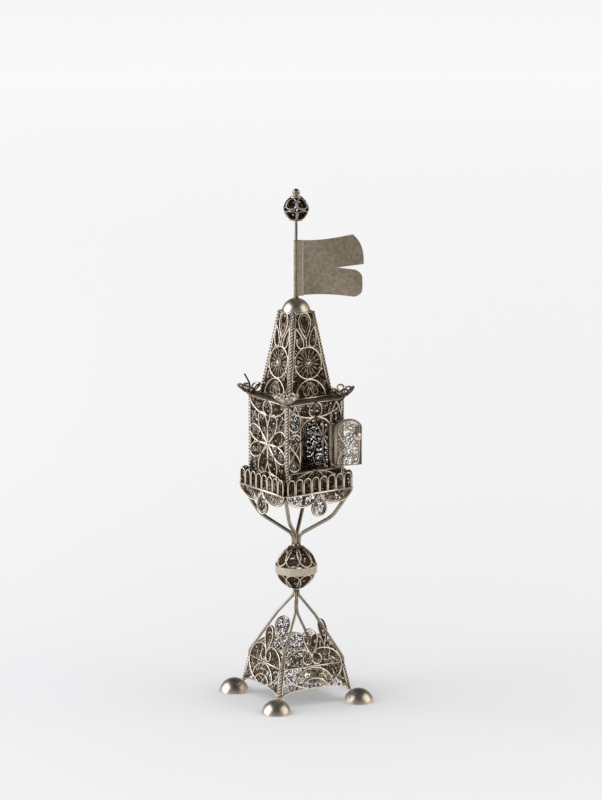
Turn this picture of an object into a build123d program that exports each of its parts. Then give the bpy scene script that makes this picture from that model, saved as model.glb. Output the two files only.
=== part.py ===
from build123d import *
import os
from math import acos, asin, atan2, cos, degrees, hypot, radians, sin, sqrt

# Besamim spice tower in silver filigree.
# Millimetres, +Z up, the table at Z = 0, the tower's axis on Z and the door on the -Y side.

# Wires, sheets and fits
wire = 0.6                # width of a filigree frame wire, seen from the front
ribbon_depth = 0.9        # depth of the frame wires, across the panel
twist_radius = 0.65       # radius over the strands of a twisted corner wire
wire_sides = 6            # sides of a drawn wire's section
round_sides = 16          # sides of a raised or turned outline
small_sides = 12          # sides of a small turned outline
sheet = 0.8               # thickness of the floor and the roof plate
seat_gap = 0.05           # solder joint between a curved face and its seat

# Feet and base
foot_radius = 6.5
foot_height = 5.6
foot_wall = 0.5
foot_bands = 4            # rings of facets on the raised dome
hollow_bands = 2          # and on its inside
foot_circle = 27.9        # distance of a foot's centre from the axis
base_low_half = 17.0      # half side of the base at its lower corners
base_top_half = 14.8      # half side of the base at its top wire
base_height = 11.9        # from the lower corners to the top wire
base_twist = -6.5         # turn of the hand-made base under the box, in degrees
hem_rise = 2.6            # rise of each base panel's arched lower edge
bowl_drop = 9.4           # depth of the bowl-shaped wire under the top wire
great_arch = 8.9          # half width of the larger nested arch
great_arch_rise = 8.0
small_arch = 6.0          # half width of the smaller nested arch
small_arch_rise = 4.2
lobe_height = 7.4         # height of the two half-heart lobes above the top wire
lobe_peak = 4.4           # distance of a lobe's top from the middle
lobe_curl = 2.2           # radius of a lobe's curled inner end
crest_foot = 4.6          # height of the upright teardrop's tip, where the lobes touch
crest_length = 11.2
crest_width = 6.6

# Legs and knop
leg_radius = 0.6
leg_rise = 30.2           # from the base's top wire to the knop
leg_stub = 2.0            # upright stretch at both ends of a leg
leg_crook = 10.2          # and at the top of the front and back legs, which turn out lower down
leg_bow = 1.1             # how far the other two are bowed outward
leg_bow_rise = 19.8       # height of that bow above the base's top wire
leg_bend = 4.0            # bend radius
knop_radius = 8.7
knop_petals = 8           # in each half
knop_petal_width = 5.1
petal_bends = 2           # flats along a petal's arc
knop_band = 3.3           # height of the plain band
band_sheet = 0.5
cap_radius = 2.6          # plain caps above and below the knop
cap_height = 1.2

# Brackets, floor and gallery
bracket_radius = 0.8
bracket_rise = 26.3       # from the knop's cap to the floor
bracket_bundle = 5.0      # upright stretch where the four wires run together
bracket_knee = 15.6       # reach of the lower, flatter stretch
bracket_knee_rise = 13.6
knee_cut = 3.2            # how far the knee is eased on each side
bracket_tip = 2.4         # upright stretch under the floor's corner
bracket_bend = 4.0        # bend radius
gallery_half = 17.2       # half side of the gallery, at the middle of its wires
gallery_loops = 8         # round-headed loops a side
gallery_height = 7.2
swag_drop = 5.3           # the two swags under each rail
drop_length = 10.2        # the teardrop between them
drop_width = 7.0

# Box
box_half = 14.15          # half side at the middle of the walls
wall_height = 38.2
frieze_drop = 6.6         # depth of the swag under each wall's top wire
flower_petals = 8
petal_slimness = 0.43     # a flower petal's width over its length
hub_radius = 1.2
sill_height = 9.3         # from the floor to the top of the sill
doorway_half = 6.7
doorway_spring = 25.7     # from the floor to where the door's round head begins
doorway_head = 4.7        # rise of the head
frame_strip = 0.7         # width of the strip round the doorway

# Door, hinge and catch
door_gap = 0.3            # between the leaf and its frame
leaf_depth = 0.8
leaf_rim = 0.8            # width of the leaf's outer wire
crown_width = 9.0         # the teardrop in the leaf's upper half
door_open = 166.0         # the rest pose: the door stands this far open, in degrees
pin_radius = 0.35
pin_fit = 0.06            # running clearance of the door's knuckle
pin_hold = 0.03           # the fixed knuckles hold the pin
pin_head = 0.3            # height of the pin's riveted ends
knuckle_radius = 0.85
knuckle_height = 4.6
knuckle_gap = 0.12        # between neighbouring knuckles
hinge_foot = 13.2         # from the floor to the lowest knuckle
strap_length = 3.6
strap_sheet = 0.5
strap_gap = 0.15          # between a strap and the face that it lies on
catch_height = 22.3       # from the floor to the catch's spindle
catch_inset = 2.6         # from the leaf's free edge to the spindle
catch_plate = 1.9         # radius of the plate that the spindle turns in
spindle_radius = 0.5
spindle_fit = 0.05
knob_radius = 1.5
knob_height = 1.1
knob_bands = 3
catch_gap = 0.15          # under the knob
tongue_clear = 0.2        # between the turned tongue and the door frame
tongue_length = 4.3
tongue_width = 1.6
tongue_sheet = 0.6

# Roof, rosettes and spire
roof_half = 15.0
rosette_loops = 8
rosette_circle = 20.1     # distance of a rosette's centre from the axis
rosette_hub = 1.4
loop_length = 4.2
loop_width = 2.4
loop_wire = 0.6
cup_angle = 42.0          # rise of the loops above the roof, in degrees
spire_low_half = 10.85    # half side of the spire on the roof
spire_top_half = 5.2
spire_height = 35.9
wheel_centre = 14.9       # along the spire's face, from the roof
wheel_radius = 6.7
wheel_spokes = 8
wheel_hub = 1.3
foot_arch = 7.4           # half width of the arch under the wheel
foot_arch_rise = 7.6
spire_drop_length = 11.0  # the teardrop at the top of each face
spire_drop_width = 6.0
spire_leaf_length = 9.0   # the two leaves beside it
spire_leaf_width = 3.6
spire_leaf_angle = -72.0  # direction of the left leaf, from its tip

# Cap, staff, flag and finial
dome_radius = 6.0
dome_height = 5.2
dome_wall = 0.5
dome_bands = 4
bead_bands = 2            # in each half of the bead
staff_radius = 0.58
staff_height = 32.9       # from the cap to the finial
staff_root = 1.6          # length of the staff inside the cap
ferrule_radius = 1.05     # shoulder that carries the flag
ferrule_height = 0.8
flag_turn = -33.5         # rest direction of the flag, in degrees from +X
flag_fit = 0.06           # running clearance of the hem on the staff
flag_lift = 0.15          # between the hem and its ferrule
hem_wall = 0.4
hem_lap = 2.9             # reach of the folded hem from the axis
hem_sheet = 0.8
flag_sheet = 0.4
flag_hoist = 23.6         # height of the flag at the staff
flag_length = 28.4        # reach of the tails from the axis
flag_peak = 26.0          # height of the upper corner of the fly
flag_dip = 0.5            # how far the lower corner of the fly hangs below the hoist
notch_reach = 17.0        # reach of the notch between the tails
notch_height = 12.0
notch_gap = 2.8           # opening of the notch at the tails' ends
tail_reach = 27.9         # reach of the lower tail
tail_turn = 2.8           # radius of its corners
tail_round = 4.6          # how far the upper tail is cut back at its peak
flag_hollow = 0.8         # how far the upper edge hangs, and the lower edge rises, at mid length
tail_belly = 0.6          # how far the upper tail's edge stands back at mid height
finial_radius = 5.4
finial_petals = 6         # in each half
finial_petal_width = 4.3
finial_cap = 2.5          # radius of the flat caps at the finial's poles
finial_cap_height = 0.35
bead_radius = 1.6

# Steps along the curves of the filigree wires
ring_steps = 6
arch_steps = 6
loop_steps = 5
head_steps = 3            # over a gallery loop's round head
doorway_steps = 8         # over the doorway's round head
bend_steps = 2            # along each bend of a bent wire

quarter_turns = (0, 90, 180, 270)
sides = dict(zip(("front", "right", "back", "left"), quarter_turns))
corners = dict(zip(("front_left", "front_right", "back_right", "back_left"), quarter_turns))
first_corner = 225        # direction of the front left corner, in degrees
nodes = {}


# Lines that the wires follow

def turned(points, angle, shift=(0, 0)):
    """The points turned about the origin by an angle in degrees, then shifted."""
    c, s = cos(radians(angle)), sin(radians(angle))
    return [(x * c - y * s + shift[0], x * s + y * c + shift[1]) for x, y in points]


def oval(centre, half_width, half_height, start, end, steps):
    """Points along an ellipse from one angle to another."""
    angles = [radians(start + (end - start) * i / steps) for i in range(steps + 1)]
    return [(centre[0] + half_width * cos(a), centre[1] + half_height * sin(a)) for a in angles]


def ring(centre, radius, steps):
    """Points round a whole circle."""
    return oval(centre, radius, radius, 0, 360, steps)[:-1]


def teardrop(tip, length, width, angle, steps):
    """Points of a teardrop loop, its tip first, with its belly in the given direction."""
    turns = [radians(360 * i / steps) for i in range(steps)]
    points = [(1 - cos(t), sin(t) * sin(t / 2)) for t in turns]
    longest = max(x for x, y in points)
    widest = 2 * max(y for x, y in points)
    return turned([(length * x / longest, width * y / widest) for x, y in points], angle, tip)


def mirrored(points):
    """The points on the other side of the upright axis."""
    return [(-x, y) for x, y in points]


# Flat wires and panels

def mitre_line(points, distance, closed):
    """The points set off sideways by a distance, with mitred corners."""
    count = len(points)
    line = []
    for i, (x, y) in enumerate(points):
        before = points[i - 1] if closed or i else points[i]
        after = points[(i + 1) % count] if closed or i < count - 1 else points[i]
        ways = [(x - before[0], y - before[1]), (after[0] - x, after[1] - y)]
        ways = [(u / hypot(u, v), v / hypot(u, v)) for u, v in ways if hypot(u, v) > 0]
        along = (sum(u for u, v in ways), sum(v for u, v in ways))
        size = hypot(*along)
        normal = (-along[1] / size, along[0] / size)
        reach = distance * len(ways) / size
        line.append((x + normal[0] * reach, y + normal[1] * reach))
    return line


def ribbon(points, width=wire, closed=False):
    """Face of a flat wire of even width along a line of points."""
    one = mitre_line(points, width / 2, closed)
    other = mitre_line(points, -width / 2, closed)
    if not closed:
        return Polygon(*one, *reversed(other), align=None)
    faces = sorted((Polygon(*one, align=None), Polygon(*other, align=None)), key=lambda face: face.area)
    return faces[1] - faces[0]


def loop(points, width=wire):
    """Face of a closed flat wire."""
    return ribbon(points, width, closed=True)


def panel(wires, depth=ribbon_depth):
    """Soldered openwork: flat wires joined into one sheet and given their depth."""
    return extrude(Sketch() + wires, amount=depth / 2, both=True)


def face_plane(half, z, lean=0.0):
    """Plane of the front face, with its origin at the middle of the face; lean tips it back, in degrees."""
    return Plane(origin=(0, -half, z), x_dir=(1, 0, 0), z_dir=(0, -cos(radians(lean)), sin(radians(lean))))


def bar(low, high, radius):
    """Straight wire with level ends, from one point to another."""
    way = Vector(*high) - Vector(*low)
    section = Pos(*low) * RegularPolygon(radius, wire_sides)
    return extrude(section, amount=way.length, dir=way)


def bent_wire(points, bend, radius):
    """Wire bent in the XZ plane, through points of reach and height, with facets along its bends."""
    drawn = FilletPolyline(*[(x, 0, z) for x, z in points], radius=bend)
    stops = [drawn @ 0]
    for edge in drawn.edges():
        steps = 1 if edge.geom_type == GeomType.LINE else bend_steps
        stops += [edge @ ((i + 1) / steps) for i in range(steps)]
    section = Pos(*stops[0]) * RegularPolygon(radius, wire_sides)
    return sweep(section, path=Polyline(*stops), transition=Transition.RIGHT)


def on_corner(shape, turn):
    """A shape drawn along +X, set on one of the four corners."""
    return Rot(0, 0, first_corner + turn) * shape


def dome_outline(radius, height, bands):
    """Reach and height along a dome, from its rim to its top."""
    ball = (radius ** 2 + height ** 2) / (2 * height)
    top = acos((ball - height) / ball)
    angles = [top * (1 - i / bands) for i in range(bands + 1)]
    return [(ball * sin(a), ball * cos(a) - ball + height) for a in angles]


def dome_level(radius, height, reach):
    """Height of a dome at a distance from its axis."""
    ball = (radius ** 2 + height ** 2) / (2 * height)
    return sqrt(ball ** 2 - reach ** 2) - ball + height


def dome(radius, height, bands, facets=round_sides):
    """Raised dome of flat facets that stands on Z = 0."""
    rows = []
    for reach, z in dome_outline(radius, height, bands)[:-1]:
        rows.append([(x, y, z) for x, y in ring((0, 0), reach, facets)])
    faces = [Face(Wire.make_polygon(rows[0]))]
    for low, high in zip(rows, rows[1:]):
        for i in range(facets):
            faces.append(Face(Wire.make_polygon([low[i - 1], low[i], high[i], high[i - 1]])))
    for i in range(facets):
        faces.append(Face(Wire.make_polygon([rows[-1][i - 1], rows[-1][i], (0, 0, height)])))
    return Solid(Shell(faces))


def disc(radius, height, facets=round_sides):
    """Plain round plate that stands on Z = 0."""
    return extrude(RegularPolygon(radius, facets), amount=height)


def petal_ring(outer, count, petal_width, low, high, depth):
    """Ring of wire petals over one half of a ball, each bent along the ball's arc, narrow end at the pole."""
    middle = outer - depth / 2
    lie = (low + high) / 2
    arc = [low + (high - low) * i / petal_bends for i in range(petal_bends + 1)]
    strip = ribbon([(middle * cos(radians(a)), middle * sin(radians(a))) for a in arc], depth)
    strip = extrude(Plane.XZ * strip, amount=petal_width, both=True)
    reach = middle * sin(radians((high - low) / 2))
    plane = Plane(origin=(0, 0, 0), x_dir=(0, 1, 0), z_dir=(cos(radians(lie)), 0, sin(radians(lie))))
    outline = teardrop((0, reach - wire / 2), 2 * reach - wire, petal_width - wire, -90, loop_steps)
    petal = strip & extrude(plane * loop(outline), amount=2 * outer, both=True)
    return [Rot(0, 0, 360 * i / count) * petal.solid() for i in range(count)]


# Feet

foot_offset = foot_circle - base_low_half * sqrt(2)
foot = dome(foot_radius, foot_height, foot_bands)
foot -= dome(foot_radius - foot_wall, foot_height - foot_wall, hollow_bands)
for name, turn in corners.items():
    nodes[f"foot_{name}"] = Rot(0, 0, base_twist) * on_corner(Pos(foot_circle, 0, 0) * foot, turn)


# Base panels and their corner wires

base_low = dome_level(foot_radius, foot_height, foot_offset - twist_radius) + seat_gap
base_top = base_low + base_height
base_lean = degrees(atan2(base_low_half - base_top_half, base_height))
base_slant = base_height / cos(radians(base_lean))
edge_inset = twist_radius + seat_gap + wire / 2
rim_top = base_top_half - edge_inset
rim_low = base_low_half - edge_inset


def base_panel():
    """One splayed base panel; the top wire lies on local Y = 0."""
    hem_y = -base_slant + wire / 2
    hem = oval((0, hem_y), rim_low, hem_rise, 180, 0, arch_steps)
    bowl = oval((0, 0), rim_top, bowl_drop, 180, 360, ring_steps)
    big = oval((0, -great_arch_rise), great_arch, great_arch_rise - wire, 180, 0, arch_steps)
    small = oval((0, -bowl_drop), small_arch, small_arch_rise, 180, 0, arch_steps)
    shoulder = lobe_height - lobe_peak
    lobe = oval((-lobe_peak, 0), rim_top - lobe_peak, lobe_height, 180, 90, arch_steps // 2)[:-1]
    lobe += oval((-lobe_peak, shoulder), lobe_peak, lobe_peak, 90, 0, arch_steps // 2)[:-1]
    lobe += oval((-lobe_curl, shoulder), lobe_curl, lobe_curl, 0, -180, arch_steps // 2)
    crest = teardrop((0, crest_foot), crest_length, crest_width, 90, ring_steps)
    wires = [ribbon([(-rim_top, 0), (rim_top, 0)]), ribbon(hem), ribbon(bowl), ribbon(big), ribbon(small)]
    wires += [ribbon(lobe), ribbon(mirrored(lobe)), loop(crest)]
    wires += [ribbon([(s * rim_low, hem_y), (s * rim_top, 0)]) for s in (-1, 1)]
    return face_plane(base_top_half, base_top, base_lean) * panel(wires)


first_panel = base_panel()
for name, turn in sides.items():
    nodes[f"base_panel_{name}"] = Rot(0, 0, base_twist + turn) * first_panel
base_wire = bar((base_low_half * sqrt(2), 0, base_low), (base_top_half * sqrt(2), 0, base_top), twist_radius)
nodes["base_corner_wires"] = [Rot(0, 0, base_twist) * on_corner(base_wire, turn) for turn in quarter_turns]


# Legs

knop_low = base_top + leg_rise
leg_bundle = leg_radius * sqrt(2) + seat_gap
leg_reach = base_top_half * sqrt(2)
leg_foot = [(leg_reach, base_top), (leg_reach, base_top + leg_stub)]
bow_share = (leg_bow_rise - leg_stub) / (leg_rise - 2 * leg_stub)
bow_reach = leg_reach + (leg_bundle - leg_reach) * bow_share + leg_bow
bowed_path = leg_foot + [(bow_reach, base_top + leg_bow_rise)]
bowed_path += [(leg_bundle, knop_low - leg_stub), (leg_bundle, knop_low)]
crook_path = leg_foot + [(leg_bundle, knop_low - leg_crook), (leg_bundle, knop_low)]
bowed_leg = bent_wire(bowed_path, leg_bend, leg_radius)
crooked_leg = bent_wire(crook_path, leg_bend, leg_radius)
for name, turn in corners.items():
    leg = crooked_leg if name in ("front_left", "back_right") else bowed_leg
    nodes[f"leg_{name}"] = Rot(0, 0, base_twist) * on_corner(leg, turn)


# Knop

knop_high_angle = degrees(acos(cap_radius / knop_radius))
knop_low_angle = degrees(asin((knop_band / 2 + seat_gap) / (knop_radius - ribbon_depth)))
knop_reach = knop_radius * sin(radians(knop_high_angle)) + seat_gap
knop_centre = knop_low + cap_height + knop_reach
knop_top = knop_centre + knop_reach + cap_height
cap = disc(cap_radius, cap_height)
knop_half = petal_ring(
    knop_radius, knop_petals, knop_petal_width, knop_low_angle, knop_high_angle, ribbon_depth)
band_outer = knop_radius + band_sheet / 2
band = disc(band_outer, knop_band) - disc(band_outer - band_sheet, knop_band)
nodes["knop_lower_cap"] = Pos(0, 0, knop_low) * cap
nodes["knop_lower_petals"] = [Pos(0, 0, knop_centre) * Rot(180, 0, 0) * petal for petal in knop_half]
nodes["knop_band"] = Pos(0, 0, knop_centre - knop_band / 2) * band
nodes["knop_upper_petals"] = [Pos(0, 0, knop_centre) * petal for petal in knop_half]
nodes["knop_upper_cap"] = Pos(0, 0, knop_top - cap_height) * cap


# Brackets

floor_low = knop_top + bracket_rise
floor_top = floor_low + sheet
floor_half = gallery_half - ribbon_depth / 2
bundle = bracket_radius * sqrt(2) + seat_gap
tip_reach = (floor_half - bracket_radius - seat_gap) * sqrt(2)
bracket_fork = Vector(bundle, knop_top + bracket_bundle)
bracket_turn = Vector(bracket_knee, knop_top + bracket_knee_rise)
bracket_tip_low = Vector(tip_reach, floor_low - bracket_tip)
eased = [bracket_turn + (end - bracket_turn).normalized() * knee_cut for end in (bracket_fork, bracket_tip_low)]
bracket_path = [(bundle, knop_top)] + [(p.X, p.Y) for p in (bracket_fork, *eased, bracket_tip_low)]
bracket = bent_wire(bracket_path + [(tip_reach, floor_low)], bracket_bend, bracket_radius)
for name, turn in corners.items():
    nodes[f"bracket_{name}"] = on_corner(bracket, turn)


# Floor and gallery

nodes["box_floor"] = Pos(0, 0, floor_low) * extrude(Rectangle(2 * floor_half, 2 * floor_half), amount=sheet)


def gallery_side():
    """Rail with round-headed loops above it, two swags and a teardrop below it; the rail is local Y = 0."""
    half = floor_half
    head = (half - wire / 2) / gallery_loops
    spring = gallery_height - head - wire / 2
    wires = [ribbon([(-half, 0), (half, 0)])]
    for i in range(gallery_loops):
        x = head * (2 * i + 1 - gallery_loops)
        arch = oval((x, spring), head, head, 180, 0, head_steps)
        wires.append(ribbon([(x - head, 0), *arch, (x + head, 0)]))
    swag = oval((-half / 2, 0), half / 2 - wire / 2, swag_drop, 180, 360, arch_steps)
    wires += [ribbon(swag), ribbon(mirrored(swag))]
    wires.append(loop(teardrop((0, 0), drop_length, drop_width, -90, ring_steps)))
    return face_plane(gallery_half, floor_low + sheet / 2) * panel(wires)


first_gallery = gallery_side()
for name, turn in sides.items():
    nodes[f"gallery_{name}"] = Rot(0, 0, turn) * first_gallery


# Plain walls and corner posts

wall_half = box_half - twist_radius - seat_gap
wall_rim = wall_half - wire / 2
roof_low = floor_top + wall_height
wall_plane = face_plane(box_half, floor_top)


def frieze(top, drop):
    """Swag and ring under a wire at local height top; a negative drop stands it on that wire."""
    swag = oval((0, top), wall_rim, drop, 180, 360, arch_steps)
    return [ribbon(swag), loop(ring((0, top - drop / 2), abs(drop) / 2, ring_steps))]


def flower_wall():
    """Plain wall: frame, friezes above and below, and a flower whose petals reach the frame."""
    frame = [(-wall_rim, wire / 2), (wall_rim, wire / 2)]
    frame += [(wall_rim, wall_height - wire / 2), (-wall_rim, wall_height - wire / 2)]
    wires = [loop(frame)] + frieze(wall_height - wire / 2, frieze_drop) + frieze(wire / 2, -frieze_drop)
    step = 360 / flower_petals
    unit = teardrop((0, 0), 1, petal_slimness, step / 2, ring_steps)
    length = wall_rim / max(x for x, y in unit)
    centre = (0, wall_height / 2)
    for i in range(flower_petals):
        wires.append(loop(teardrop(centre, length, length * petal_slimness, step * (i + 0.5), ring_steps)))
    wires.append(Polygon(*ring(centre, hub_radius, ring_steps), align=None))
    return panel(wires)


first_wall = wall_plane * flower_wall()
for name in ("right", "back", "left"):
    nodes[f"wall_{name}"] = Rot(0, 0, sides[name]) * first_wall
post_reach = box_half * sqrt(2)
post = bar((post_reach, 0, floor_top), (post_reach, 0, roof_low), twist_radius)
for name, turn in corners.items():
    nodes[f"post_{name}"] = on_corner(post, turn)


# Front wall round the doorway

jamb = doorway_half + frame_strip
sill_low = sill_height - frame_strip


def arched(half, low, head):
    """Outline of a doorway or a leaf: a sill, two sides and a round head."""
    return [(-half, low), (half, low)] + oval((0, doorway_spring), half, head, 0, 180, doorway_steps)


def sill_panel():
    """Panel under the sill, with the walls' lower frieze."""
    frame = [(-wall_rim, wire / 2), (wall_rim, wire / 2)]
    frame += [(wall_rim, sill_low - wire / 2), (-wall_rim, sill_low - wire / 2)]
    return panel([loop(frame)] + frieze(wire / 2, wire - sill_low))


def pier():
    """Left pier: two upright wires with two leaves between them, tip to tip."""
    inner = jamb + wire / 2
    middle = -(wall_rim + inner) / 2
    height = (doorway_spring - sill_low) / 2
    centre = (middle, sill_low + height)
    width = wall_rim - inner
    wires = [ribbon([(-x, sill_low), (-x, doorway_spring)]) for x in (inner, wall_rim)]
    wires += [loop(teardrop(centre, height - wire, width, way, ring_steps)) for way in (90, -90)]
    return panel(wires)


def lintel():
    """Frieze over the doorway, with an arched wire round the head and a leaf at each side."""
    top = wall_height - wire / 2
    arch = jamb + seat_gap + wire / 2
    rise = doorway_head + frame_strip + seat_gap + wire / 2
    edge = [(-wall_rim, doorway_spring), (-wall_rim, top), (wall_rim, top), (wall_rim, doorway_spring)]
    spring = doorway_spring + wire / 4
    wires = [ribbon(edge), ribbon(oval((0, spring), arch, rise - wire / 4, 0, 180, doorway_steps))]
    wires += frieze(top, top - doorway_spring - rise)
    leaf_tip = (-(wall_rim + arch) / 2, top - wire)
    leaf_length = top - doorway_spring - 2 * wire
    leaf = teardrop(leaf_tip, leaf_length, wall_rim - arch, -90, ring_steps)
    return panel(wires + [loop(leaf), loop(mirrored(leaf))])


frame_face = Polygon(*arched(jamb, sill_low, doorway_head + frame_strip), align=None)
frame_face -= Polygon(*arched(doorway_half, sill_height, doorway_head), align=None)
first_pier = pier()
nodes["front_sill_panel"] = wall_plane * sill_panel()
nodes["front_left_pier"] = wall_plane * first_pier
nodes["front_right_pier"] = wall_plane * mirror(first_pier, about=Plane.YZ)
nodes["front_lintel"] = wall_plane * lintel()
nodes["door_frame"] = wall_plane * panel([frame_face])


# Door, drawn closed and then swung open about its hinge

wall_face = -box_half - ribbon_depth / 2
hinge_x = doorway_half + knuckle_radius / 2
hinge_y = wall_face - strap_gap - knuckle_radius
hinge_z = floor_top + hinge_foot
open_door = Pos(hinge_x, hinge_y, 0) * Rot(0, 0, door_open) * Pos(-hinge_x, -hinge_y, 0)
leaf_half = doorway_half - door_gap
leaf_low = sill_height + door_gap
leaf_head = doorway_head - door_gap
leaf_plane = face_plane(-wall_face - leaf_depth / 2, floor_top)
catch_x = -leaf_half + catch_inset


def door_leaf():
    """Leaf with a round head: a teardrop over a nested arch, and the plate that the catch turns in."""
    outline = arched(leaf_half - leaf_rim / 2, leaf_low + leaf_rim / 2, leaf_head - leaf_rim / 2)
    middle = (leaf_low + doorway_spring) / 2
    rim = leaf_half - leaf_rim / 2
    crown_length = doorway_spring + leaf_head - middle - leaf_rim
    crown = teardrop((0, middle), crown_length, crown_width, 90, ring_steps)
    arch = oval((0, leaf_low), rim, middle - leaf_low, 180, 0, arch_steps)
    inner = oval((0, leaf_low), rim / 2, (middle - leaf_low) / 2, 180, 0, arch_steps)
    plate = Polygon(*ring((catch_x, catch_height), catch_plate, ring_steps), align=None)
    stay = ribbon([(catch_x, catch_height), (-rim, catch_height)])
    wires = [loop(outline, leaf_rim), loop(crown), ribbon(arch), ribbon(inner), plate, stay]
    bore = Pos(catch_x, catch_height) * Circle(spindle_radius + spindle_fit)
    return panel(wires, leaf_depth) - extrude(bore, amount=leaf_depth, both=True)


def knuckle(side, bore):
    """Rolled knuckle with its strap; side is 1 for a strap towards +X and -1 for one towards -X."""
    strap = Pos(side * strap_length / 2, wall_face - strap_gap - strap_sheet / 2 - hinge_y)
    barrel = RegularPolygon(knuckle_radius, small_sides)
    outline = barrel + strap * Rectangle(strap_length, strap_sheet) - bore
    return Pos(hinge_x, hinge_y, hinge_z) * extrude(outline, amount=knuckle_height)


knuckle_step = knuckle_height + knuckle_gap
pin_length = 2 * knuckle_step + knuckle_height
head_low = -knuckle_gap
head_high = pin_length + knuckle_gap
pin = Pos(0, 0, head_low) * extrude(Circle(pin_radius), amount=head_high - head_low)
rivet = disc(knuckle_radius, pin_head, small_sides)
pin += [Pos(0, 0, head_low - pin_head) * rivet, Pos(0, 0, head_high) * rivet]
fixed_knuckle = knuckle(1, RegularPolygon(pin_radius + pin_hold, small_sides, major_radius=False))
nodes["hinge_fixed_knuckles"] = [fixed_knuckle, Pos(0, 0, 2 * knuckle_step) * fixed_knuckle]
nodes["hinge_pin"] = Pos(hinge_x, hinge_y, hinge_z) * pin
nodes["door_leaf"] = open_door * (leaf_plane * door_leaf())
nodes["door_knuckle"] = open_door * (Pos(0, 0, knuckle_step) * knuckle(-1, Circle(pin_radius + pin_fit)))


# Catch: the knob outside, the tongue inside, turned upright in the rest pose

catch_axis = Pos(catch_x, wall_face, floor_top + catch_height) * Rot(90, 0, 0)
tongue_low = ribbon_depth + tongue_clear
spindle_length = tongue_low + tongue_sheet + catch_gap
knob = dome(knob_radius, knob_height, knob_bands, small_sides)
knob = Pos(0, 0, catch_gap) * knob + Pos(0, 0, catch_gap - spindle_length) * extrude(
    Circle(spindle_radius), amount=spindle_length)
tongue_face = RegularPolygon(tongue_width, small_sides)
tongue_face += Pos(0, tongue_length / 2) * Rectangle(tongue_width, tongue_length)
tongue_face -= RegularPolygon(spindle_radius + pin_hold, small_sides, major_radius=False)
tongue = Pos(0, 0, -tongue_low - tongue_sheet) * extrude(tongue_face, amount=tongue_sheet)
nodes["catch_knob"] = open_door * (catch_axis * knob)
nodes["catch_tongue"] = open_door * (catch_axis * tongue)


# Roof plate and rosettes

roof_top = roof_low + sheet
nodes["roof_plate"] = Pos(0, 0, roof_low) * extrude(Rectangle(2 * roof_half, 2 * roof_half), amount=sheet)


def rosette():
    """Hub with a cup of wire loops round it."""
    hub = disc(rosette_hub, wire, rosette_loops)
    outline = teardrop((0, 0), loop_length, loop_width, 0, loop_steps)
    petal = panel([loop(outline, loop_wire)], loop_wire)
    petal = Pos(rosette_hub + loop_wire, 0, loop_wire) * Rot(0, -cup_angle, 0) * petal
    return [hub] + [Rot(0, 0, 360 * (i + 0.5) / rosette_loops) * petal for i in range(rosette_loops)]


first_rosette = [Pos(rosette_circle, 0, roof_top) * piece for piece in rosette()]
for name, turn in corners.items():
    nodes[f"rosette_{name}"] = [on_corner(piece, turn) for piece in first_rosette]


# Spire

spire_lean = degrees(atan2(spire_low_half - spire_top_half, spire_height))
spire_slant = spire_height / cos(radians(spire_lean))
spire_top = roof_top + spire_height
tilt_lift = ribbon_depth / 2 * sin(radians(spire_lean)) + seat_gap


def spire_rim(y):
    """Half width of a spire panel's frame at a height along the face."""
    return spire_low_half - (spire_low_half - spire_top_half) * y / spire_slant - edge_inset


def spire_panel():
    """Tapered face: an arch, a spoked wheel, a teardrop and two leaves; the roof is local Y = 0."""
    low = wire / 2
    top = spire_slant - wire / 2
    frame = [(side * spire_rim(low), low) for side in (-1, 1)]
    frame += [(side * spire_rim(top), top) for side in (1, -1)]
    wires = [loop(frame), loop(ring((0, wheel_centre), wheel_radius, 2 * arch_steps))]
    wires.append(ribbon(oval((0, low), foot_arch, foot_arch_rise, 180, 0, arch_steps)))
    bars = wheel_spokes // 2
    for i in range(bars):
        spoke = [(-wheel_radius, 0), (wheel_radius, 0)]
        wires.append(ribbon(turned(spoke, 180 * (i + 0.5) / bars, (0, wheel_centre))))
    wires.append(Polygon(*ring((0, wheel_centre), wheel_hub, ring_steps), align=None))
    tip = top - spire_drop_length
    wires.append(loop(teardrop((0, tip), spire_drop_length, spire_drop_width, 90, ring_steps)))
    leaf_tip = wheel_centre + wheel_radius + spire_leaf_length - wire
    leaf_at = (wire / 2 - spire_rim(leaf_tip), leaf_tip)
    leaf = teardrop(leaf_at, spire_leaf_length, spire_leaf_width, spire_leaf_angle, loop_steps)
    wires += [loop(leaf), loop(mirrored(leaf))]
    wires.append(ribbon([(0, tip), (0, wheel_centre + wheel_radius)]))
    return face_plane(spire_low_half, roof_top + tilt_lift, spire_lean) * panel(wires)


first_spire = spire_panel()
for name, turn in sides.items():
    nodes[f"spire_panel_{name}"] = Rot(0, 0, turn) * first_spire
spire_foot = (spire_low_half * sqrt(2), 0, roof_top)
spire_head = (spire_top_half * sqrt(2), 0, spire_top)
spire_wire = bar(spire_foot, spire_head, twist_radius)
nodes["spire_corner_wires"] = [on_corner(spire_wire, turn) for turn in quarter_turns]


# Dome cap and flagstaff

dome_low = spire_top + 2 * tilt_lift
dome_top = dome_low + dome_height
dome_cap = dome(dome_radius, dome_height, dome_bands)
dome_cap -= dome(dome_radius - dome_wall, dome_height - dome_wall, hollow_bands)
staff_hole = RegularPolygon(staff_radius + pin_hold, small_sides, major_radius=False)
dome_cap -= extrude(staff_hole, amount=2 * dome_height)
nodes["dome_cap"] = Pos(0, 0, dome_low) * dome_cap
finial_low = dome_top + staff_height
staff = extrude(Circle(staff_radius), amount=staff_root + staff_height)
staff += Pos(0, 0, staff_root + seat_gap) * disc(ferrule_radius, ferrule_height, small_sides)
nodes["flagstaff"] = Pos(0, 0, dome_top - staff_root) * staff


# Flag

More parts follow.
